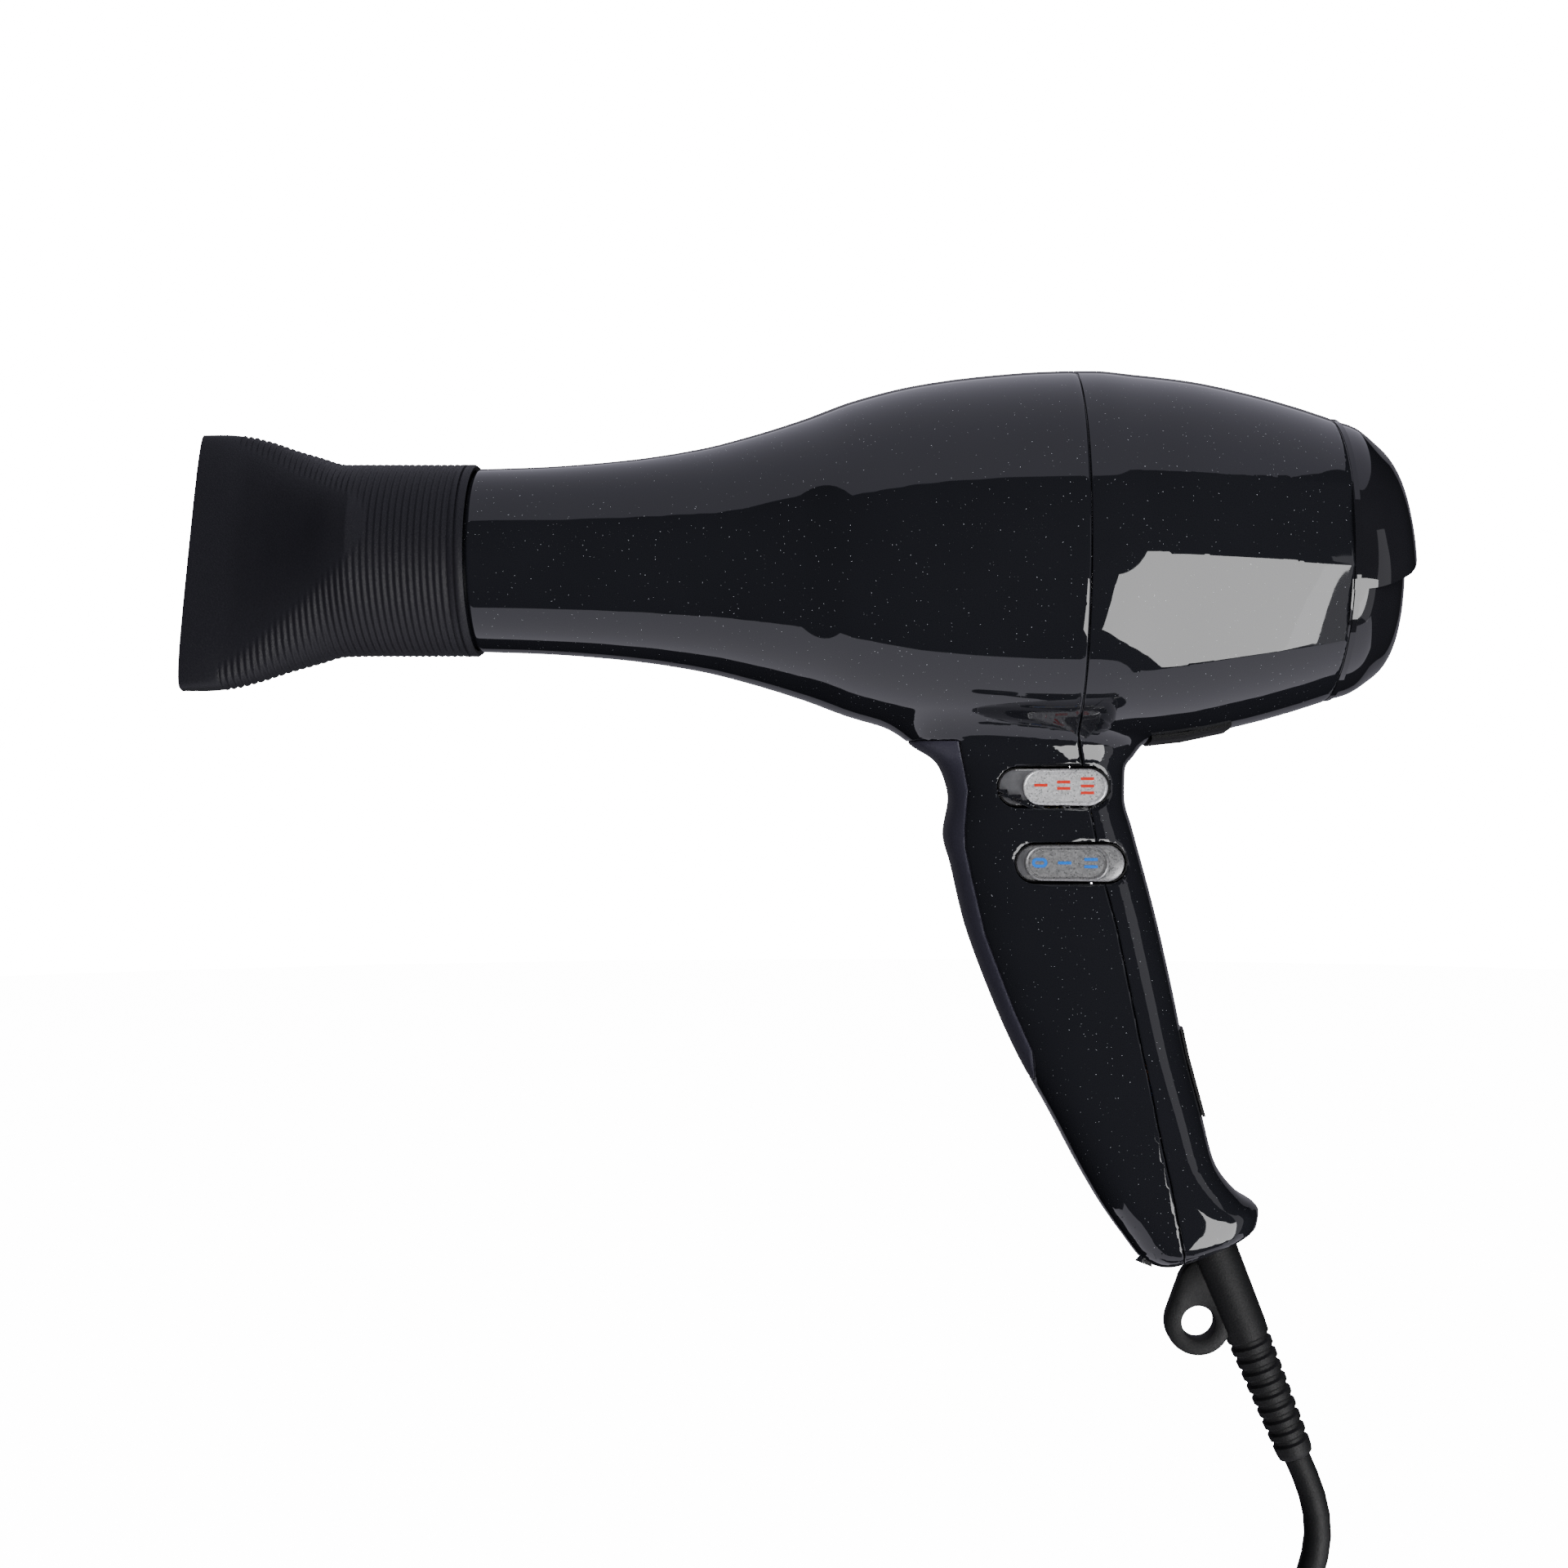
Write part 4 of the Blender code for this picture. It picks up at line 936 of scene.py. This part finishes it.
class DRYER_OT_cap(bpy.types.Operator):
    """Makes the intake cap: curved petals that overlap like a turbine's, and its skirt"""

    bl_idname = "dryer.cap"
    bl_label = "Intake cap"

    def execute(self, context):
        made = sizes("cap")
        reach = .0172
        line = steady([(0, .0363), (.35, .0345), (.62, .0306), (.84, .0262), (.93, .0222),
                       (.975, .0180), (1, .0130), (1.015, .0070)], 60)
        profile = [(REAR + GAP + reach * s, r) for s, r in zip(*line)][::2]
        part = 2 * math.pi / made.petals
        over = math.radians(14)
        form = bmesh.new()
        for n in range(made.petals):
            verts = [form.verts.new((x, 0, r)) for x, r in profile]
            edges = [form.edges.new(pair) for pair in zip(verts, verts[1:])]
            bmesh.ops.spin(form, geom=verts + edges, cent=(0, 0, 0), axis=(1, 0, 0),
                           angle=part + over, steps=44, use_merge=False)
            fresh = [v for v in form.verts if not v.tag]
            for vert in fresh:
                vert.tag = True
                r = math.hypot(vert.co.y, vert.co.z)
                angle = math.atan2(-vert.co.y, vert.co.z) % (2 * math.pi)
                angle = 0 if angle > part + over + .1 else angle
                share = angle / (part + over)
                deep = max(0.0, (.0363 - r) / .0363)
                climb = made.rise * (share ** 1.6) * float(smoothstep(deep, 0, .22))
                climb *= 1 - .75 * float(smoothstep(deep, .55, .85))
                tuck = .0006 * (1 - share) + .0002
                vert.co.x += climb * .8 - tuck
                wider = 1 + (climb * .55 - tuck * .4) / .0363
                turn = (PETAL_TURN - (part + over) + angle + n * part
                        - .85 * deep ** 1.5)
                vert.co.y, vert.co.z = (-r * wider * math.sin(turn), r * wider * math.cos(turn))
        bmesh.ops.translate(form, verts=form.verts, vec=(0, 0, AXIS))
        bmesh.ops.recalc_face_normals(form, faces=form.faces)
        if sum(f.normal.x * f.calc_area() for f in form.faces) < 0:
            bmesh.ops.reverse_faces(form, faces=form.faces)
        bmesh.ops.solidify(form, geom=form.faces, thickness=made.sheet)
        turned(form, [(REAR + GAP, REAR_R - .0002), (REAR + .0016, REAR_R - .0003),
                      (REAR + .0016, REAR_R - .0040), (REAR - .0050, REAR_R - .0043),
                      (REAR - .0050, REAR_R - .0027), (REAR + GAP, REAR_R - .0027)])
        back = REAR + reach
        turned(form, [(back + .0006, 0), (back + .0004, .0040), (back - .0002, .0064),
                      (back - .0014, .0078), (back - .0034, .0074), (back - .0034, 0)],
               closed=False)
        outward(form)
        piece("intake_cap", form, "intake_cap", "cap_black", ("rear_cap",), 32)
        return {"FINISHED"}


def nozzle_lines():
    """Smooth tables of the nozzle's half width, half height and roundness along its flare."""
    shape = ((0, 0, 0, 2.0), (.12, .05, .12, 2.0), (.27, .28, .33, 2.1), (.42, .50, .53, 2.3),
             (.58, .76, .72, 2.6), (.72, .92, .85, 3.0), (.86, .99, .93, 3.4), (1, 1, 1, 3.6))
    return [steady([(row[0], row[k]) for row in shape]) for k in (1, 2, 3)]


class DRYER_OT_nozzle(bpy.types.Operator):
    """Makes the turning nozzle, ribbed round its collar and along its narrow sides"""

    bl_idname = "dryer.nozzle"
    bl_label = "Nozzle"

    def execute(self, context):
        made = sizes("nozzle")
        rear, collar, flare = SHOULDER - .0006, .0289, .0446
        collar_r, mouth_wide, mouth_high, wall = .0246, .0353, .0052, .0018
        wide_line, high_line, power_line = nozzle_lines()
        ridge = .0042
        ribbed = ridge + made.pitch * (made.ribs + 24)
        stops = [0, .0002, .0006, .0014, .0018, .0022, .0024, .0028, .0036, .0040]
        step = made.pitch / 6
        stops += [ridge + step * k for k in range(round((ribbed - ridge) / step) + 1)]
        stops += list(np.linspace(ribbed + .0008, collar + flare, 7))
        form = bmesh.new()
        turn = Matrix.Rotation(NOZZLE_TURN, 4, "X")
        whole = made.pitch * made.ribs + ridge

        def section(down, inset, ribs):
            s = min(1, max(0, (down - collar) / flare))
            wide = collar_r + (mouth_wide - collar_r) * np.interp(s, *wide_line) - inset
            high = collar_r + (mouth_high - collar_r) * np.interp(s, *high_line) - inset
            power = np.interp(s, *power_line)
            wave = 0.0
            if down < ridge:
                wave = .45 if .0002 < down < .0019 or .0023 < down < .0037 else -.6
            elif down < ribbed:
                phase = ((down - ridge) / made.pitch) % 1
                wave = .5 * math.cos(2 * math.pi * (phase - .5))
                wave = math.copysign(abs(wave * 2) ** .6, wave) * .5
            ring = []
            for u, v in (squared(a, power) for a in turns(120)):
                bound = (max(0, down - whole) / (collar + flare - whole)) ** .42
                mask = float(smoothstep(abs(u), bound - .05, bound + .03)) if bound else 1.0
                lift = (wave * made.height * mask - made.height * .5) if ribs else 0
                ring.append(turn @ Vector((rear - down, (high + lift) * v, (wide + lift) * u))
                            + Vector((0, 0, AXIS)))
            return ring
        rings = [section(down, 0, True) for down in stops]
        end = collar + flare
        rings += [section(end, .0005, False), section(end, wall - .0003, False)]
        rings += [section(end - d, wall, False) for d in (.0006, .004, .010, .018, .026, .034,
                                                          .040, .0446, .055, .0700)]
        rings.append(section(.0004, wall - .0002, False))
        skin(form, rings, cap_first=False, cap_last=False)
        bmesh.ops.bridge_loops(form, edges=[e for e in form.edges if e.is_boundary])
        outward(form)
        piece("flat_nozzle", form, "nozzle", "nozzle_black", ("nozzle",), 50)
        return {"FINISHED"}


def rocker_form(window, middle, bars, ring):
    """A rocker with a beaded pressed area, and its printed marks."""
    made = sizes("switch")
    x0, z0 = at_handle(window)
    pivot = Vector((x0, ROCKER_PIVOT_Y, z0))
    form = bmesh.new()
    shift = middle - x0

    def level(length, width, out, slide=0.0):
        return [(x + slide, -out, z) for x, z in oval(length, width, 64)]
    face, top = .0044, .0055
    bead = top + made.bead
    rings = [level(*row) for row in (
        (.0262, .0084, -.0010), (.0264, .0086, .0026), (.0270, .0092, .0036),
        (.0268, .0090, face - .0003), (.0260, .0084, face))]
    rings += [level(*row, shift) for row in (
        (.0212, .0085, face + .0001), (.0208, .0087, top - .0004), (.0206, .0087, bead),
        (.0200, .0082, bead + .0002), (.0195, .0077, bead + .0001), (.0191, .0074, bead - .0003),
        (.0187, .0071, bead - .0003), (.0183, .0067, bead), (.0165, .0056, bead))]
    skin(form, rings)
    outward(form)
    printed = len(form.faces)
    flat = -(bead + .00002)
    for x, z in bars:
        slab(form, made.bar, .00012, made.stroke, (x - x0, flat, z - z0), .00004, segments=1)
    for x, z in ring:
        outer = oval(.0038, .0024, 32)
        inner = oval(.0038 - 2 * made.stroke, .0024 - 2 * made.stroke, 32)
        loops = [[(x - x0 + a, flat - lift, z - z0 + b) for a, b in points]
                 for points, lift in ((outer, -.00006), (outer, .00006), (inner, .00006),
                                      (inner, -.00006))]
        skin(form, [*loops, loops[0]], cap_first=False, cap_last=False)
    outward(form)
    form.faces.ensure_lookup_table()
    # Faces of the sunk left end take the third finish, a darker copy of the silver: painted shade,
    # not a second colour.
    for side in form.faces:
        spot = side.calc_center_median()
        sunk = spot.x < shift - .0100 and spot.y > -top - made.bead * .5
        side.material_index = 1 if side.index >= printed else 2 if sunk else 0
    place = Matrix.Translation(pivot) @ Matrix.Rotation(ROCKER_TILT, 4, "Z")
    bmesh.ops.transform(form, verts=form.verts, matrix=place)
    return form


class DRYER_OT_switches(bpy.types.Operator):
    """Makes the silver rocker switches for heat and speed with their printed marks"""

    bl_idname = "dryer.switches"
    bl_label = "Rocker switches"

    def execute(self, context):
        heat = [(-.0085, .0524), (-.0029, .0532), (-.0029, .0516), (.0030, .0540),
                (.0030, .0522), (.0030, .0505)]
        speed = [(-.0026, .0331), (.0039, .0340), (.0039, .0322)]
        # The speed rocker takes the darker copy of the silver paint: painted shade, the same paint
        # as the heat rocker.
        for name, form, node, paint, marks in (
                ("heat_button", rocker_form(WINDOWS[0], -.0026, heat, ()), "heat_rocker",
                 "silver_paint", "mark_red"),
                ("speed_button", rocker_form(WINDOWS[1], -.0021, speed, [(-.0088, .0331)]),
                 "speed_rocker", "silver_in_painted_shade", "mark_blue")):
            piece(name, form, node, "silver_paint", (node,), 40, (paint, marks, "silver_sunk_painted_shade"))
        return {"FINISHED"}


class DRYER_OT_boot(bpy.types.Operator):
    """Makes the tapered strain relief with its hanging loop"""

    bl_idname = "dryer.boot"
    bl_label = "Strain relief"

    def execute(self, context):
        form = bmesh.new()
        down = [(-.0060, .0060), (-.0055, .0076), (-.0030, .0076), (-.0026, .0062), (0, .0062)]
        down += [(s, .0062 - .0012 * s / .06) for s in (.008, .016, .024)]
        for k in range(9):
            s = .0270 + k * .0034
            r = .0062 - .0015 * s / .06
            down += [(s, r), (s + .0006, r - .0006), (s + .0014, r - .0006), (s + .0020, r)]
        down += [(.0585, .0047), (.0597, .0044), (.0600, .0040)]
        side = Vector((-BOOT_WAY.z, 0, BOOT_WAY.x))
        rings = [[BOOT_START + BOOT_WAY * s + side * r * math.cos(a)
                  + Vector((0, r, 0)) * math.sin(a) for a in turns(48)] for s, r in down]
        skin(form, rings)
        hole = Vector((.0325, 0, -.0853))
        lean = math.radians(-70)
        up = Vector((math.cos(lean), 0, -math.sin(lean)))
        middle, across = hole + up * .0045, Vector((-up.z, 0, up.x))

        def level(length, width, y, at):
            return [at + up * a + across * b + Vector((0, y, 0))
                    for a, b in oval(length, width, 48)]
        eye = [level(.0084 + grow, .0084 + grow, y, hole)
               for grow, y in ((.0016, -.0030), (.0004, -.0027), (0, -.0018), (0, .0018),
                               (.0004, .0027), (.0016, .0030))]
        tab = [level(long, wide, y, middle) for long, wide, y in (
            (.0242, .0152, .0030), (.0256, .0166, .0026), (.0260, .0170, .0016),
            (.0260, .0170, -.0016), (.0256, .0166, -.0026), (.0242, .0152, -.0030))]
        skin(form, [*eye, *tab, eye[0]], cap_first=False, cap_last=False)
        outward(form)
        piece("strain_relief", form, "housing", "rubber_black", ("cord_boot",), 40)
        return {"FINISHED"}


class DRYER_OT_inner(bpy.types.Operator):
    """Gives the pieces that keep their own shape the finish that each is made in"""

    bl_idname = "dryer.inner"
    bl_label = "Inner pieces"

    def execute(self, context):
        for part in frame["record"]["subparts"]:
            shape = frame["nodes"][part["node"]]
            look = bpy.data.materials[part["material_slot"]]
            shape.data.materials.clear()
            shape.data.materials.append(look)
        return {"FINISHED"}


class DRYER_OT_stage(bpy.types.Operator):
    """Sets the pale floor and backdrop and the soft studio lights"""

    bl_idname = "dryer.stage"
    bl_label = "Stage and lights"

    def execute(self, context):
        far = sizes("stage").far
        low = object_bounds()[0].z
        for name, look in (("floor", "studio_floor"), ("backdrop", "studio_wall")):
            form = bmesh.new()
            if name == "floor":
                bmesh.ops.create_circle(form, cap_ends=True, segments=96, radius=far * 1.01)
                bmesh.ops.translate(form, verts=form.verts, vec=(0, 0, low - .002))
            else:
                bmesh.ops.create_uvsphere(form, u_segments=96, v_segments=48, radius=far)
                bmesh.ops.reverse_faces(form, faces=form.faces)
            ground = meshed(name, form, (look,))
            ground.visible_glossy = ground.visible_diffuse = ground.visible_shadow = False
            ground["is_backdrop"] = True
        world = bpy.data.worlds.new("studio")
        world.use_nodes = True
        sky = world.node_tree.nodes["Background"]
        sky.inputs["Color"].default_value = (.6, .6, .7, 1)
        sky.inputs["Strength"].default_value = .004
        context.scene.world = world
        for name, place, aim, wide, high, watts, tint in LIGHTS:
            light = bpy.data.lights.new(name, "AREA")
            light.shape = "RECTANGLE"
            light.size, light.size_y, light.energy, light.color = wide, high, watts, tint
            lamp = added(name, light)
            lamp.location = place
            way = Vector(aim) - Vector(place)
            lamp.rotation_euler = way.to_track_quat("-Z", "Y").to_euler()
            lamp.visible_glossy = name != "front fill"
            lamp.visible_camera = False
        return {"FINISHED"}


# name, place, aim, width, height, power, tint
LIGHTS = (
    ("overhead", (0, .50, 1.50), (0, .50, .08), 2.4, 3.8, 22, (.86, .84, 1)),
    ("below", (.5, .10, -1.45), (.5, .10, .08), 3.4, 1.6, 22, (.90, .88, 1)),
    ("behind", (0, 2.6, .20), (0, 0, .05), 5.0, 3.2, 12, (.88, .86, 1)),
    ("side panel", (.68, -.93, -.60), (.03, 0, .10), .80, .78, 21, (1, 1, 1)),
    ("right strip", (1.3, -.75, -.25), (0, 0, -.10), .5, 1.7, 2.4, (.95, .94, 1)),
    ("front fill", (-.5, -2.2, .9), (0, 0, .05), 1.2, 1.2, 60, (1, 1, 1)),
)

STEPS = ("camera", "plug", "cord", "housings", "spigot", "cap", "nozzle", "switches", "boot",
         "inner", "stage")
GROUPS = {"housing": HousingSizes, "cap": CapSizes, "nozzle": NozzleSizes, "switch": SwitchSizes,
          "cord": CordSizes, "finishes": Finishes, "stage": StageSizes}


class DRYER_PT_panel(bpy.types.Panel):
    """Lists the pieces of the hair dryer and their sizes"""

    bl_idname = "DRYER_PT_panel"
    bl_label = "Hair dryer"
    bl_space_type = "VIEW_3D"
    bl_region_type = "UI"
    bl_category = "Hair dryer"

    def draw(self, context):
        for name, group in GROUPS.items():
            box = self.layout.box()
            box.label(text=name.title())
            for key in group.__annotations__:
                box.prop(getattr(context.scene, "dryer_" + name), key)
        for step in STEPS:
            self.layout.operator("dryer." + step)


CLASSES = (*GROUPS.values(), DRYER_OT_camera, DRYER_OT_plug, DRYER_OT_cord, DRYER_OT_housings,
           DRYER_OT_spigot, DRYER_OT_cap, DRYER_OT_nozzle, DRYER_OT_switches, DRYER_OT_boot,
           DRYER_OT_inner, DRYER_OT_stage, DRYER_PT_panel)


def register():
    for kind in CLASSES:
        bpy.utils.register_class(kind)
    for name, group in GROUPS.items():
        setattr(bpy.types.Scene, "dryer_" + name, PointerProperty(type=group))


def unregister():
    for name in GROUPS:
        delattr(bpy.types.Scene, "dryer_" + name)
    for kind in reversed(CLASSES):
        bpy.utils.unregister_class(kind)


def main():
    register()
    make_finishes()
    for step in STEPS:
        getattr(bpy.ops.dryer, step)()


if __name__ == "__main__":
    main()
